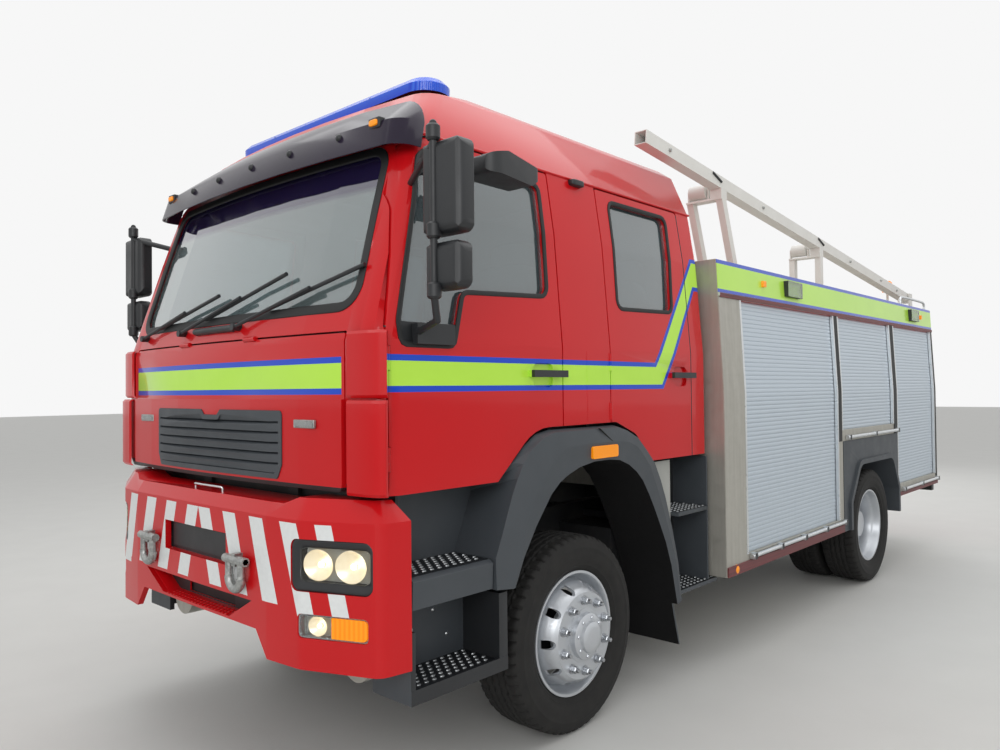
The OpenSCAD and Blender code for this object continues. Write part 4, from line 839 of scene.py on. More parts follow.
# Frame nodes that keep their shape and take a finish: bevel in metres, sharp angle in degrees
for names, finishes, bevel, angle, pick in (
        ("cab_shell front_flap door_front_left door_front_right door_rear_left door_rear_right",
         [red_paint, black_plastic, trim_plastic], 0.004, 30, cab_parts),
        ("front_bumper", [bumper_red, black_plastic], 0.006, 30, bumper_parts),
        ("chassis_frame front_axle rear_axle leaf_springs knuckle_left knuckle_right rear_step",
         [chassis_black], 0.003, 35, None),
        ("driveline", [cast_iron], 0.006, 35, None),
        ("engine_block", [cast_iron], 0.012, 35, None),
        ("radiator", [chassis_black], 0.006, 35, None),
        ("tanks", [bare_aluminium, chassis_black], 0.008, 35, tank_parts),
        ("exhaust", [stained_steel], 0.003, 35, None),
        ("tow_shackles", [galvanised], 0.003, 35, None),
        ("sun_visor", [visor_acrylic], 0.0015, 35, None),
        ("light_bar", [blue_lens, black_plastic], 0.004, 30, light_bar_parts),
        ("dashboard", [trim_plastic], 0.008, 35, None),
        ("steering_wheel", [black_plastic], 0.0015, 35, None),
        ("grille", [grey_plastic], 0.002, 35, None),
        ("front_arches", [grey_plastic, fleece], 0.004, 22, arch_parts),
        ("cab_steps", [grey_plastic, tread_steel, pale_plastic, black_plastic], 0.003, 35, step_parts),
        ("windscreen", [front_glass], 0, 35, None),
        ("glass_front_left glass_front_right glass_rear_left glass_rear_right", [side_glass], 0, 35,
         None),
        ("water_tank", [white_paint], 0.006, 35, None),
        ("rear_arches", [grey_plastic], 0.005, 30, None),
        ("body_sills", [sill_enamel], 0.002, 35, None),
        ("rear_ladder", [bright_trim], 0, 35, None),
        ("roof_rail", [white_paint], 0.006, 35, None),
        ("rail_supports", [white_paint], 0.004, 35, None),
        ("wheel_front_left wheel_front_right wheels_rear_left wheels_rear_right", [wheel_silver],
         0.002, 30, None),
        ("shutter_bars", [bright_trim, black_plastic], 0.0015, 35, lift_bar_parts),
        ("mirrors_left mirrors_right wipers", [black_plastic], 0.004, 30, None),
        ("body_shell", [red_paint, bare_aluminium], 0.004, 30, body_parts),
        ("body_lamps", [black_plastic, amber_lens, red_lens, clear_lens], 0.004, 35,
         body_lamp_parts)):
    for node in names.split():
        dress(node, finishes, bevel, angle, pick)


# Trim of the cab. Outlines are rows of place along (or across, on the screen), height and
# corner radius
FRONT_WINDOW = [[1.128, 1.835, 0.030], [1.134, 1.925, 0.020], [0.968, 2.600, 0.040],
                [0.920, 2.636, 0.030], [0.212, 2.620, 0.040], [0.226, 2.087, 0.050],
                [0.780, 2.062, 0.040], [0.850, 1.835, 0.030]]
REAR_WINDOW = [[-0.366, 2.640, 0.045], [-0.944, 2.640, 0.045], [-0.900, 2.085, 0.045],
               [-0.352, 2.070, 0.045]]
SCREEN = [[-0.948, 1.985, 0.090], [0.948, 1.985, 0.090], [0.902, 2.652, 0.080],
          [-0.902, 2.652, 0.080]]
FOOT_PANEL = rounded([[1.126, 1.838, 0.026], [1.131, 1.923, 0.004], [0.822, 1.923, 0.004],
                      [0.852, 1.838, 0.026]]) + [AXLE, 0]
SEAL = rounded([[-0.012, -0.006, 0.004], [0.010, -0.006, 0.004], [0.010, 0.003, 0.003],
                [-0.012, 0.005, 0.004]], 3)


def on_cab_side(flat):
    """Points given along and up the cab, laid on its left side."""
    return lattice(ahead(flat[:, 0]), cab_side(flat[:, 1]), flat[:, 1])


def side_seal(outline):
    """A rubber bead round a window: its outline carried on the cab's side."""
    return carry(on_cab_side(resampled(rounded(outline), 0.02, loop=True)), SEAL, Y, loop=True)


def screen_seal():
    """The rubber round the windscreen, 1.9 times as wide as a window's, carried on the cab's
    front and leaning back with the glass."""
    y, z = resampled(rounded(SCREEN), 0.02, loop=True).T
    return carry(lattice(cab_front(y, z), y, z), SEAL * [1.9, 1.0], X + 0.3 * Z, loop=True)


for side, s in SIDES:
    for place, outline in (("front", FRONT_WINDOW), ("rear", REAR_WINDOW)):
        piece(f"window_seal_{place}_{side}", turned_over(side_seal(outline), s), seal_rubber,
              f"glass_{place}_{side}", f"door_{place}_{side}_body", angle=40)
    piece("window_foot_panel_" + side, turned_over(prism(FOOT_PANEL, "y", 1.0985, 1.1090), s),
          black_plastic, "glass_front_" + side, f"door_front_{side}_body", bevel=0.002)
piece("windscreen_seal", screen_seal(), seal_rubber, "windscreen", angle=40)


# Drip rail under the roof, following the cab's side from rear corner to front pillar
gutter = on_cab_side(lattice(np.linspace(-1.235, 0.93, 40), 2.703, 0)[:, :2]) + [0, 0.002, 0]
piece("roof_gutters", both(tube(gutter, 0.007, Z, 8)), red_paint, "cab_shell", angle=50)
piece("door_pillar_seam", both(block((ahead(-0.060), ahead(-0.052)), (1.0, 1.1208), (1.50, 1.84))),
      red_paint, "cab_shell")
for side, s in SIDES:
    base = pillow((ahead(-0.086), cab_side(2.684) + 0.012, 2.684), (0.05, 0.022, 0.016), 0.5, 0.4)
    piece("aerial_base_" + side, turned_over(base, s), black_plastic, "cab_shell", angle=60)


def deflector(z0, z1, off):
    """A corner blade: a plan curve from the flap round the corner, 9 mm thick, leaning with the
    cab's front; its offset from the cab grows below the ledge."""
    plan = smoothed([[1.262, 0.962], [1.256, 1.045], [1.240, 1.112], [1.211, 1.138]], 3)
    ring = np.vstack([plan, plan[::-1] - [0.010, 0.006]])
    z = np.array([z0, z0 + 0.012, z1 - 0.012, z1])[:, None]
    grow = np.array([off - 0.010, off, off, off - 0.010])[:, None] * 0.8
    y = np.minimum(ring[:, 1] + grow, 1.150)
    return surface(lattice(ahead(ring[:, 0] + grow), y, z), loop_cols=True, caps=True)


# Two blades on each corner, above and below the seam at 1.626
corner_parts = joined(deflector(1.264, 1.622, 0.020), deflector(1.630, 1.884, 0.006))
piece("corner_deflectors", both(corner_parts), red_paint, "cab_shell", bevel=0.004, angle=30)


# Bumper: its face at a distance across, as the frame has it
BUMPER_ACROSS = [0, 0.600, 0.785, 0.800, 0.817, 1.082, 1.105, 1.125, 1.138]
BUMPER_AHEAD = [1.397, 1.392, 1.3735, 1.3705, 1.3645, 1.2505, 1.236, 1.200, 1.100]


def bumper_face(y):
    """Front of the bumper at a distance across."""
    return ahead(np.interp(np.abs(y), BUMPER_ACROSS, BUMPER_AHEAD))


def on_bumper(outline, sink0, sink1):
    """A front-view outline laid on the bumper's face: from one depth below it to another."""
    y, z = np.array(outline, float).T
    sink = np.array([[sink0], [sink1]])
    return surface(lattice(bumper_face(y) - sink, y, z), loop_cols=True, caps=True)


def bezel(outer, inner, face_in, face_out, back):
    """A moulded frame between two front-view outlines of as many points: outside wall, rounded
    front edge, a slope down to the inner edge, and its inside wall."""
    mix = [(0, back), (0, face_out + 0.003), (0.12, face_out), (0.3, face_out), (1, face_in),
           (1, back)]
    share, deep = np.array(mix).T[:, :, None]
    y, z = (outer[:, k] * (1 - share) + inner[:, k] * share for k in (0, 1))
    return surface(lattice(bumper_face(y) - deep, y, z), loop_rows=True, loop_cols=True)


LAMP_OUT = rounded(box_outline(0.7525, 1.0895, 0.8965, 1.0935, 0.034), 8)
LAMP_IN = rounded(box_outline(0.796, 1.069, 0.934, 1.062, 0.020), 8)
FOG_OUT = rounded(box_outline(0.7905, 1.0715, 0.7215, 0.8115, 0.018), 6)
FOG_IN = rounded(box_outline(0.798, 1.065, 0.729, 0.804, 0.012), 6)


def bowl(y, z, radius, deep, sink):
    """A reflector let into the bumper's face: its depth below the face is
    sink + deep (1 - (r / radius)^2), with a 3 mm wall behind it."""
    r = np.linspace(0.010, radius, 12)
    hollow = sink + deep * (1 - (r / radius) ** 2)
    r = np.concatenate([r, [radius + 0.002], r[::-1]])
    hollow = np.concatenate([hollow, [sink + 0.001], hollow[::-1] + 0.003])
    angle = np.linspace(0, 2 * np.pi, 40, endpoint=False)[:, None]
    across = y + r * np.cos(angle)
    grid = lattice(bumper_face(across) - hollow, across, z + r * np.sin(angle))
    return surface(grid, loop_rows=True, loop_cols=True)


headlamp_parts = {
    "headlamp_bezels": (bezel(LAMP_OUT, LAMP_IN, 0.016, 0.003, 0.045), black_plastic),
    "headlamp_backs": (on_bumper(rounded(box_outline(0.797, 1.068, 0.935, 1.061, 0.02), 6), 0.040,
                                 0.046), pale_plastic),
    "headlamp_reflectors": (joined(bowl(0.867, 0.998, 0.058, 0.026, 0.012),
                                   bowl(0.996, 0.998, 0.060, 0.024, 0.012)), lit_metal),
    "headlamp_bulbs": (joined(*[pillow((bumper_face(y) - 0.027, y, 0.998),
                                       (0.012, 0.012, 0.012), 0.9, 0.9, 10, 16)
                                for y in (0.867, 0.996)]), bulb_light),
    "headlamp_lenses": (on_bumper(LAMP_IN, 0.008, 0.012), lamp_glass),
    "fog_lamp_shells": (bezel(FOG_OUT, FOG_IN, 0.008, 0.004, 0.045), clear_lens),
    "fog_lamp_reflectors": (bowl(0.864, 0.767, 0.036, 0.018, 0.012), lit_metal),
    "fog_lamp_backs": (on_bumper(FOG_IN, 0.040, 0.046), pale_plastic),
    "fog_lamp_lenses": (on_bumper([[0.798, 0.729], [0.925, 0.729], [0.925, 0.804], [0.798, 0.804]],
                                  0.005, 0.009), lamp_glass),
    "fog_lamp_bulbs": (pillow((bumper_face(0.864) - 0.022, 0.864, 0.767), (0.010, 0.009, 0.009),
                              0.9, 0.9, 10, 16), bulb_light),
    "indicator_lenses": (on_bumper(rounded([[0.926, 0.727, 0.004], [1.066, 0.727, 0.02],
                                            [1.066, 0.806, 0.02], [0.926, 0.806, 0.004]]),
                                   0.002, 0.030), amber_lens)}
for name, (part, look) in headlamp_parts.items():
    piece(name, both(part), look, "headlamps", bevel=0.002 if "lens" in name else 0,
          stands_for=["headlamps"] if name == "headlamp_bezels" else ())

piece("number_plate_blank", block((ahead(1.3585), ahead(1.3655)), (-0.262, 0.262), (0.938, 1.050)),
      black_plastic, "front_bumper", bevel=0.003)
# Black sheets in the gap above the bumper and behind its mouth: painted shade, standing for the dark
# seen through these gaps
piece("bumper_gap_shade_panels", joined(
    block((ahead(1.100), ahead(1.112)), (-1.06, 1.06), (1.140, 1.260)),
    block((ahead(1.285), ahead(1.297)), (-0.33, 0.33), (0.700, 0.830)),
    block((ahead(1.03), ahead(1.11)), (-0.62, -0.52), (1.0, 1.25)),
    block((ahead(1.03), ahead(1.11)), (0.50, 0.62), (1.0, 1.25))), chassis_black, "front_bumper")
lip = [pillow((bumper_face(y) - 0.012 - row * 0.022, y, 0.7165), (0.009, 0.006, 0.0035), 0.6, 0.8,
              8, 12) for row in (0, 1, 2) for y in np.arange(-0.27, 0.28, 0.03) + row % 2 * 0.015]
piece("bumper_tread_bumps", joined(*lip), bumper_red, "front_bumper", angle=60)
handle = smoothed([[1.335, -0.10, 1.214], [1.335, -0.10, 1.236], [1.345, -0.09, 1.240],
                   [1.352, 0.02, 1.241], [1.345, 0.14, 1.240], [1.335, 0.15, 1.236],
                   [1.335, 0.15, 1.214]], 3) + [AXLE, 0, 0]
piece("bumper_wire_handle", tube(handle, 0.005, X, 8), bright_trim, "front_bumper", angle=60)
shackle_nut = turned([[0, -0.004], [0.0180, -0.004], [0.0180, 0.010], [0.013, 0.016], [0, 0.016]],
                     "y", (ahead(1.421), 0.478, 0.970), 6)
piece("shackle_nuts", both(shackle_nut), galvanised, "tow_shackles", angle=20)

# Marker lamps beside the grille
flap_face = float(cab_front(0.716, 1.528)) + 0.014
for name, reach, back, y, z, look, bevel in (
        ("flap_marker_lamps", 0.011, 0.004, (0.652, 0.780), (1.518, 1.538), clear_lens, 0.002),
        ("flap_marker_bases", 0.008, 0.006, (0.644, 0.788), (1.511, 1.545), galvanised, 0.004)):
    piece(name, both(block((flap_face - back, flap_face + reach), y, z)), look, "front_flap",
          "front_flap_body", bevel)

# Side marker on the front arch, and rivets of the steps
arch_marker = rounded(box_outline(-0.243, -0.028, 1.316, 1.377, 0.012)) + [AXLE, 0]
piece("arch_marker_lamps", both(prism(arch_marker, "y", 1.150, 1.172)), amber_lens, "front_arches",
      bevel=0.003)
rivets = repeated([[0, 0.004], [0.004, 0.0035], [0.008, 0.001], [0.009, -0.001]],
                  [(ahead(x), 0.904, z) for x, z in
                   ((0.98, 0.80), (0.98, 0.70), (0.86, 0.79), (0.90, 0.66), (0.90, 0.58),
                    (0.78, 0.72), (0.70, 0.60))], 12)
piece("step_wall_rivets", both(rivets), bright_trim, "cab_steps", angle=50)


# Pump body: fascia with its film, drip rail, guide channels, rubber posts and rivets
def on_body(x0, x1, z0, z1, out0, out1):
    """A strip on the body's side between two places along it and two heights, bent where the
    side starts to lean in."""
    z = np.array([z0, BODY_KINK, z1]) if z0 < BODY_KINK < z1 else np.array([z0, z1])
    side = body_side(z)
    return prism([*zip(side + out0, z), *zip(side[::-1] + out1, z[::-1])], "x", x0, x1)


BODY_ENDS = (BODY_REAR + 0.0005, BODY_FRONT - 0.0005)
piece("roof_band_film", both(on_body(*BODY_ENDS, *BODY_BAND, 0.0002, 0.0030)), band_livery,
      "body_shell")
drip = np.array([[0.0, 2.206], [0.008, 2.206], [0.010, 2.212], [0.010, 2.226], [0.004, 2.230],
                 [0.0, 2.230]]) + [body_side(2.218), 0]
piece("roof_drip_rails", both(prism(drip, "x", *BODY_ENDS)), bright_trim, "body_shell", angle=40)

# Lockers: rear, front and sill; posts between them: rear, front and foot
LOCKERS = [(-3.190, -1.575, 0.617), (-4.580, -3.265, 1.310), (-5.940, -4.678, 0.751)]
POSTS = [(-3.260, -3.195, 1.224), (-4.673, -4.585, 1.224), (-5.991, -5.945, 0.680)]
LOCKER_TOP = 2.205
channels = [on_body(ahead(x0), ahead(x1), low, LOCKER_TOP, -0.016, 0.004)
            for rear, front, low in LOCKERS
            for x0, x1 in ((rear - 0.001, rear + 0.022), (front - 0.022, front + 0.001))]
piece("shutter_guide_channels", both(joined(*channels)), bright_trim, "body_shell", angle=30)
posts = [on_body(ahead(x0), ahead(x1), low, LOCKER_TOP, 0.0002, 0.005) for x0, x1, low in POSTS]
piece("locker_post_rubbers", both(joined(*posts)), seal_rubber, "body_shell", angle=30)
pillar_rivets = repeated([[0, 0.003], [0.004, 0.0025], [0.007, 0.0005], [0.008, -0.001]],
                         [(ahead(x), float(body_side(z)), z) for x in (-1.330, -1.545)
                          for z in np.arange(0.62, 2.2, 0.122)], 10)
piece("front_pillar_rivets", both(pillar_rivets), bare_aluminium, "body_shell", angle=50)
marker = turned([[0, 0.016], [0.020, 0.014], [0.028, 0.008], [0.030, 0.0]], "y",
                (ahead(-1.425), 1.212, 0.550), 24)
piece("pillar_marker_lamps", both(marker), amber_lens, "body_lamps", angle=50)
pillar_sheets = [on_body(ahead(-1.5745), ahead(-1.3005), *heights, 0.0002, 0.0022)
                 for heights in ((0.5195, 1.7285), (1.7315, 2.2055))]
piece("front_pillar_sheets", both(joined(*pillar_sheets)), bare_aluminium, "body_shell", angle=30)

# Roof: visor fixings and marker lamps, light bar's blocks, beacon, clamps and low rail
VISOR_ROWS = np.array([[2.632, 1.150], [2.744, 1.118], [2.905, 0.912]])


def visor_face(y, z):
    """Front of the visor's sheet: its rows' front, bowed across as the cab's front is."""
    return ahead(np.interp(z, VISOR_ROWS[:, 0], VISOR_ROWS[:, 1]) - CAB_CROWN * (y / 0.946) ** 2)


def stud(x, y, z, radius, high, lean):
    """A round-headed fixing: a dome turned about the vertical, then leaned forward."""
    points, faces = turned([[0, high], [radius * 0.6, high * 0.9], [radius, high * 0.4],
                            [radius, -0.006], [0, -0.006]], "z", (0, 0, 0), 16)
    c, s = math.cos(lean), math.sin(lean)
    turn = np.array([[c, 0, -s], [0, 1, 0], [s, 0, c]])
    return points @ turn + np.array([x, y, z]), faces


fixings = [stud(float(visor_face(y, 2.722)), y, 2.722, 0.016, 0.012, 1.25)
           for y in (0.690, 0.350, 0.035, -0.285, -0.585)]
piece("visor_fixings", joined(*fixings), black_plastic, "sun_visor", angle=50)
marker_face = float(visor_face(0.922, 2.735)), float(visor_face(0.915, 2.738))
piece("visor_marker_bases", both(block((marker_face[0] - 0.050, marker_face[0] + 0.010),
                                       (0.866, 0.936), (2.716, 2.762))),
      black_plastic, "sun_visor", bevel=0.006)
piece("visor_marker_lenses", both(pillow((marker_face[1] + 0.010, 0.901, 2.739),
                                         (0.008, 0.026, 0.013), 0.5, 0.5, 12, 20)),
      amber_lens, "sun_visor", angle=60)

bar_low, bar_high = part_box("light_bar")
piece("light_bar_seams", joined(*[
    block((bar_low.x + 0.004, bar_high.x - 0.004), (y - 0.003, y + 0.003),
          (bar_low.z + 0.03, bar_low.z + 0.052)) for y in (-0.42, 0.42)]), black_plastic, "light_bar")

BEACON_X, BEACON_Y = ahead(-5.78), 0.83
piece("rear_beacon_bracket", joined(
    block((BEACON_X - 0.03, BEACON_X + 0.03), (0.80, 0.86), (BODY_TOP - 0.002, BODY_TOP + 0.004)),
    tube([[BEACON_X, BEACON_Y, BODY_TOP], [BEACON_X, BEACON_Y, BODY_TOP + 0.20]], 0.012, X)),
    white_paint, "body_shell")
piece("rear_beacon_lens", turned([[0, 0.118], [0.030, 0.114], [0.046, 0.096], [0.052, 0.060],
                                  [0.054, 0.0], [0, 0.0]], "z",
                                 (BEACON_X, BEACON_Y, BODY_TOP + 0.205), 32), amber_lens,
      "body_lamps", angle=40)
low_rail = smoothed([[-5.96, 1.13, 2.43], [-5.96, 1.13, 2.50], [-5.90, 1.13, 2.515],
                     [-5.20, 1.13, 2.515], [-5.14, 1.13, 2.50], [-5.14, 1.13, 2.43]], 3)
piece("rear_roof_rails", both(tube(low_rail + [AXLE, 0, 0], 0.012, Y, 10)), bright_trim,
      "body_shell", angle=60)


RAIL_PIN, RAIL_SLOPE = (-5.990, 2.575), 5.96


def on_rail(x, across, up):
    """A place on the roof rail's box, measured along the vehicle, across, and square to it."""
    slope = math.radians(RAIL_SLOPE)
    z = RAIL_PIN[1] + (x - RAIL_PIN[0]) * math.tan(slope)
    return [ahead(x) - up * math.sin(slope), across, z + up * math.cos(slope)]


clamps = [joined(tube([on_rail(x - 0.06, 0.9865, 0.0), on_rail(x + 0.06, 0.9865, 0.028)],
                      0.009, Y, 10),
                 stud(*on_rail(x, 0.945, 0.0400), 0.020, 0.018, 0.0)) for x in (-1.70, -3.508)]
piece("rail_lever_clamps", joined(*clamps), black_plastic, "roof_rail", "roof_rail_body", angle=50)
bolts = repeated([[0, 0.012], [0.010, 0.012], [0.012, 0.008], [0.012, -0.002]],
                 [on_rail(x, 0.985, 0.0) for x in (-1.1, -2.4, -4.2, -5.046, -5.55)], 6)
piece("rail_bolts", bolts, galvanised, "roof_rail", "roof_rail_body", angle=30)

# Mirror glasses and clamps of the doors' mirror arms, and the cover of the wipers' linkage
for side, s in SIDES:
    body = f"door_front_{side}_body"
    glasses = [block((ahead(x) - 0.002, ahead(x) + 0.004), (y - wide, y + wide), (z - tall, z + tall))
               for x, y, wide, z, tall in ((1.0415, 1.330, 0.092, 2.400, 0.158),
                                           (1.0420, 1.330, 0.080, 2.112, 0.074))]
    piece("mirror_glasses_" + side, turned_over(joined(*glasses), s), mirror_metal,
          "mirrors_" + side, body, bevel=0.001)
    clamp = [turned([[0, 0.030], [0.020, 0.030], [0.027, 0.022], [0.027, -0.022], [0.020, -0.030],
                     [0, -0.030]], "z", (ahead(1.121), 1.300, z), 20) for z in (2.02, 2.24, 2.60)]
    piece("mirror_arm_clamps_" + side, turned_over(joined(*clamp), s), black_plastic,
          "mirrors_" + side, body, angle=40)

COVER_Z = 1.945
cover_y = np.linspace(-0.211, 0.145, 24)[:, None]
arch = np.linspace(0, np.pi, 9)
cover = lattice(cab_front(cover_y, COVER_Z - 0.005) - 0.004 + 0.030 * np.sin(arch), cover_y,
                COVER_Z - 0.018 * np.cos(arch))
piece("wiper_linkage_cover", surface(cover, caps=True, loop_cols=True), black_plastic, "wipers",
      angle=50)


# Treads of the steps: pressed studs in staggered rows, paler than the tread: partly wear, partly
# painted highlight
STUD_PITCH = 0.042
STUD_ROW = STUD_PITCH * 0.75


def studs(x0, x1, y0, y1, top):
    """Teardrop studs on a staggered grid: each a low dome, all worked out at once."""
    x = np.arange(x0 + 0.015, x1 - 0.010, STUD_PITCH)
    y = np.arange(y0 + 0.014, y1 - 0.008, STUD_ROW)
    gx, gy = (g.ravel() for g in np.meshgrid(x, y, indexing="ij"))
    gx = gx + (np.round((gy - y[0]) / STUD_ROW) % 2) * STUD_PITCH / 2
    dome = np.array([[r * np.cos(a) * 1.35, r * np.sin(a), high]
                     for r, high in ((0.0085, -0.001), (0.0070, 0.0040), (0.0030, 0.0055))
                     for a in np.linspace(0, 2 * np.pi, 8, endpoint=False)])
    points, faces = surface(dome.reshape(3, 8, 3), loop_cols=True, caps=True)
    many = (points[None] + lattice(ahead(gx), gy, top)[:, None]).reshape(-1, 3)
    return many, [[i + k * len(points) for i in q] for k in range(len(gx)) for q in faces]


treads = joined(studs(0.655, 1.090, 0.908, 1.112, 0.945), studs(0.604, 1.066, 0.908, 1.106, 0.510),
                studs(-1.238, -0.910, 0.900, 1.118, 0.950), studs(-1.336, -0.910, 0.900, 1.122, 0.510))
piece("step_tread_studs", both(treads), studs_worn_and_highlit, "cab_steps", angle=50)

# Seam between the front arch's two mouldings
arch_seam = prism([[ahead(-0.104), 1.462], [ahead(-0.098), 1.462], [ahead(-0.207), 1.394],
                   [ahead(-0.213), 1.394]], "y", 1.150, 1.1605)
piece("arch_moulding_seams", both(arch_seam), seal_rubber, "front_arches")


# Wheels: nuts on their studs, and the hub's cap
NUT_COUNT, NUT_CIRCLE = 10, 0.1675
# Each nut: a flat collar, six flats with a rounded end, and the stud through it, with the sides
# that each is turned in
NUT_PARTS = (([[0.0, 0.006], [0.023, 0.005], [0.024, -0.002]], 20),
             ([[0.0, 0.030], [0.014, 0.030], [0.0175, 0.026], [0.0175, 0.002]], 6),
             ([[0.0, 0.046], [0.009, 0.045], [0.0105, 0.041], [0.0105, 0.02]], 12))
HUB_CAP = [[0, 0.060], [0.040, 0.060], [0.062, 0.057], [0.072, 0.050], [0.076, 0.036], [0.100, 0.032],
           [0.108, 0.026], [0.110, 0.004], [0.126, 0.002], [0.128, -0.004]]
CAP_BOLT = [[0, 0.040], [0.007, 0.040], [0.010, 0.036], [0.010, 0.030]]


def ring_of(x, y, radius, count, start):
    """Places evenly round a wheel's line, from a share of a step past its front."""
    angle = 2 * math.pi * (np.arange(count) + start) / count
    return lattice(x + radius * np.cos(angle), y, HUB + radius * np.sin(angle))


def wheel_nuts(x, y, s):
    """The nuts of one wheel, standing out to its side."""
    return joined(*[turned(np.array(rows) * [1, s], "y", place, count)
                    for place in ring_of(x, y, NUT_CIRCLE, NUT_COUNT, 0.5)
                    for rows, count in NUT_PARTS])


for side, s in SIDES:
    front_face = middle("tyre_front_" + side)[1] + s * 0.166
    rear_face = middle("tyres_rear_" + side)[1] + s * 0.012
    cap = turned(np.array(HUB_CAP) * [1, s], "y", (AXLE, front_face, HUB), 48)
    cap_bolts = repeated(np.array(CAP_BOLT) * [1, s], ring_of(AXLE, front_face, 0.090, 8, 0.25), 6)
    wheel, body = "wheel_front_" + side, f"front_wheel_{side}_body"
    piece("wheel_nuts_front_" + side, wheel_nuts(AXLE, front_face, s), wheel_nut_metal, wheel, body,
          angle=30)
    piece("hub_cap_front_" + side, joined(cap, cap_bolts), wheel_silver, wheel, body, angle=30)
    piece("wheel_nuts_rear_" + side, wheel_nuts(REAR_AXLE, rear_face, s), wheel_nut_metal,
          "wheels_rear_" + side, f"rear_wheels_{side}_body", angle=30)


# Tyres with their tread
TREAD_LINES, TREAD_HALF, TREAD_DEPTH, TYRE_WIDTH = (-0.058, -0.020, 0.020, 0.058), 0.110, 0.011, 0.275
# Side wall from the bead to the shoulder, then the carcass inside from bead to bead
WALL = np.array([
    [0.2865, 0.103], [0.300, 0.1038], [0.306, 0.112], [0.322, 0.122], [0.326, 0.1255],
    [0.330, 0.1255], [0.345, 0.132], [0.365, 0.1368], [0.385, 0.1375], [0.405, 0.1372],
    [0.409, 0.1385], [0.414, 0.1382], [0.418, 0.1360], [0.435, 0.1335], [0.452, 0.127],
    [0.463, 0.119]])
CARCASS = [[0.2865, -0.082], [0.330, -0.100], [0.400, -0.116], [0.440, -0.096], [0.450, 0.0],
           [0.440, 0.096], [0.400, 0.116], [0.330, 0.100], [0.2865, 0.082]]


def tread_depth(angle, across, lugs, shoulder):
    """How deep the tread is cut: zigzag grooves round the tyre and slots across its shoulders,
    both following a triangle wave of the angle."""
    beat = angle * lugs / (2 * np.pi)
    zigzag = np.abs((beat % 1) * 2 - 1) - 0.5
    cut = np.zeros(np.broadcast(angle, across).shape)
    for line in TREAD_LINES:
        away = np.abs(across - line - zigzag * 0.010)
        cut = np.maximum(cut, np.clip(1.6 - away / 0.0042, 0, 1))
    slot = np.abs(((beat + np.abs(across) * 2.2) % 1) - 0.5) * 2 * np.pi * TYRE_R / lugs
    outer = np.clip((np.abs(across) - shoulder) / 0.004, 0, 1)
    return np.maximum(cut, np.clip(1.7 - slot / 0.0055, 0, 1) * outer)


def tyre(centre_x, centre_y, lugs, shoulder):
    """A tyre: columns run from the outer bead over the tread to the inner bead and back inside,
    rows run round it. The radius is the profile's less the tread's cut."""
    flat = np.linspace(TREAD_HALF, -TREAD_HALF, 45)
    crown = TYRE_R - 0.004 * (flat / TREAD_HALF) ** 4
    radius, across = np.vstack([WALL, lattice(crown, flat, 0)[:, :2], WALL[::-1] * [1, -1], CARCASS]).T
    angle = np.linspace(0, 2 * np.pi, 320, endpoint=False)[:, None]
    on_tread = radius > TYRE_R - 0.012
    radius = radius - TREAD_DEPTH * tread_depth(angle, across, lugs, shoulder) * on_tread
    grid = lattice(centre_x + radius * np.sin(angle), centre_y + across, HUB + radius * np.cos(angle))
    return surface(grid, loop_rows=True, loop_cols=True)


PAIR_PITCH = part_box("tyres_rear_left")[1].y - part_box("tyres_rear_left")[0].y - TYRE_WIDTH
for side, s in SIDES:
    front_y, rear_y = middle("tyre_front_" + side)[1], middle("tyres_rear_" + side)[1]
    piece("tyre_tread_front_" + side, tyre(AXLE, front_y, 58, 0.072), rubber, "tyre_front_" + side,
          f"front_wheel_{side}_body", angle=28, stands_for=["tyre_front_" + side])
    piece("tyre_tread_rear_" + side,
          joined(*[tyre(REAR_AXLE, rear_y + k * PAIR_PITCH / 2, 50, 0.05) for k in (-1, 1)]),
          rubber, "tyres_rear_" + side, f"rear_wheels_{side}_body", angle=28,
          stands_for=["tyres_rear_" + side])


# Roller shutters: slats 28 mm high, each bowed by 2 mm with a narrow groove below it
SHUTTER_TOP, SLAT = 2.200, 0.028
SLAT_PARTS = np.array([0.0, 0.08, 0.14, 0.4, 0.7, 0.94, 0.995])
SLAT_DEPTHS = np.array([0.0035, 0.0035, 0.0009, 0.0, 0.0004, 0.0018, 0.0035])


def slatted(low, top, face, back, inward, axis, t0, t1):
    """A shutter drawn out along an axis. Down its face each slat is a parabola, then a groove;
    face and back give its place at each height, and inward is the way that the slats sink."""
    count = round((top - low) / SLAT)
    z = low + (np.arange(count)[:, None] + SLAT_PARTS).ravel() * (top - low) / count
    front = face(z) + inward * np.tile(SLAT_DEPTHS, count)
    return prism([*zip(front, z), *zip(back(z)[::-1], z[::-1])], axis, t0, t1)


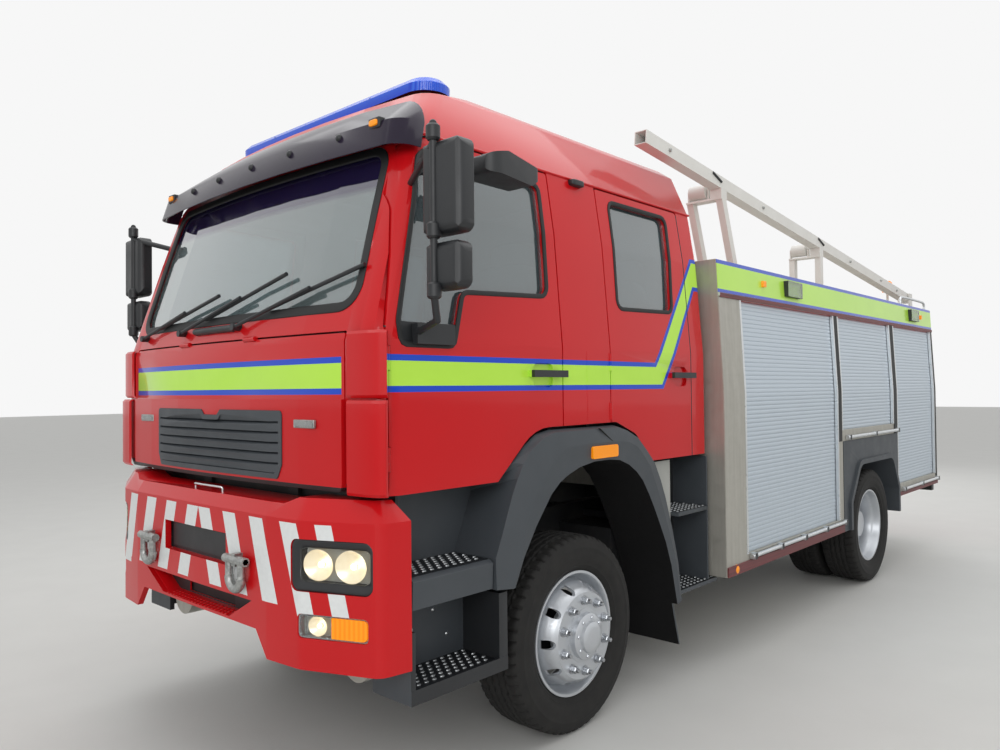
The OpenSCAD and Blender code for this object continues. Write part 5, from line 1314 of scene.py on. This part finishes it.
side_shutters = [slatted(low, SHUTTER_TOP, lambda z: body_side(z) - 0.019,
                         lambda z: body_side(z) - 0.031, -1, "x",
                         ahead(rear) + 0.001, ahead(front) - 0.001) for rear, front, low in LOCKERS]
piece("roller_shutter_slats", both(joined(*side_shutters)), slat_metal, "shutters", angle=25,
      stands_for=["shutters"])
low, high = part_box("shutter_rear")
piece("rear_shutter_slats", slatted(low.z, high.z, lambda z: low.x + 0 * z, lambda z: high.x + 0 * z,
                                    1, "y", low.y, high.y), slat_metal, "shutter_rear", angle=25,
      stands_for=["shutter_rear"])


# Seats with cushions
SEAT_TOP = 1.560
FRONT_SEAT_X, FRONT_SEATS = 0.060, {"driver_seat": -0.620, "front_passenger_seat": 0.560}
BENCH_X, BENCH_PLACES = -0.890, (-0.63, -0.21, 0.21, 0.63)


def seat_cushions(name, x, y, wide):
    """Crowned cushion and back, and a head rest."""
    for tag, dx, dz, half, square, edge, rows, cols in (
            ("cushion", 0.19, 0.055, (0.26, wide / 2, 0.075), 0.35, 0.55, 24, 48),
            ("back", -0.155, 0.43, (0.085, wide / 2 - 0.01, 0.33), 0.35, 0.5, 28, 48),
            ("head_rest", -0.215, 0.80, (0.05, min(wide, 0.3) / 2, 0.09), 0.4, 0.5, 20, 36)):
        part = pillow((ahead(x + dx), y, SEAT_TOP + dz), half, square, edge, rows, cols)
        made = piece(f"{name}_{tag}", part, cloth, "crew_seats", angle=60)
        yield made


seats = []
for tag, y in FRONT_SEATS.items():
    seats += seat_cushions(tag, FRONT_SEAT_X, y, 0.52)
for k, y in enumerate(BENCH_PLACES):
    seats += seat_cushions(f"crew_seat_{k + 1}", BENCH_X, y, 0.41)
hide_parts("crew_seats")
bases = [block((ahead(-0.05), ahead(0.46)), (y - 0.2, y + 0.2), (1.325, 1.552))
         for y in FRONT_SEATS.values()]
bench = block((ahead(-0.96), ahead(-0.60)), (-0.82, 0.82), (1.325, 1.552))
piece("seat_bases", joined(*bases, bench), trim_plastic, "crew_seats", bevel=0.01)
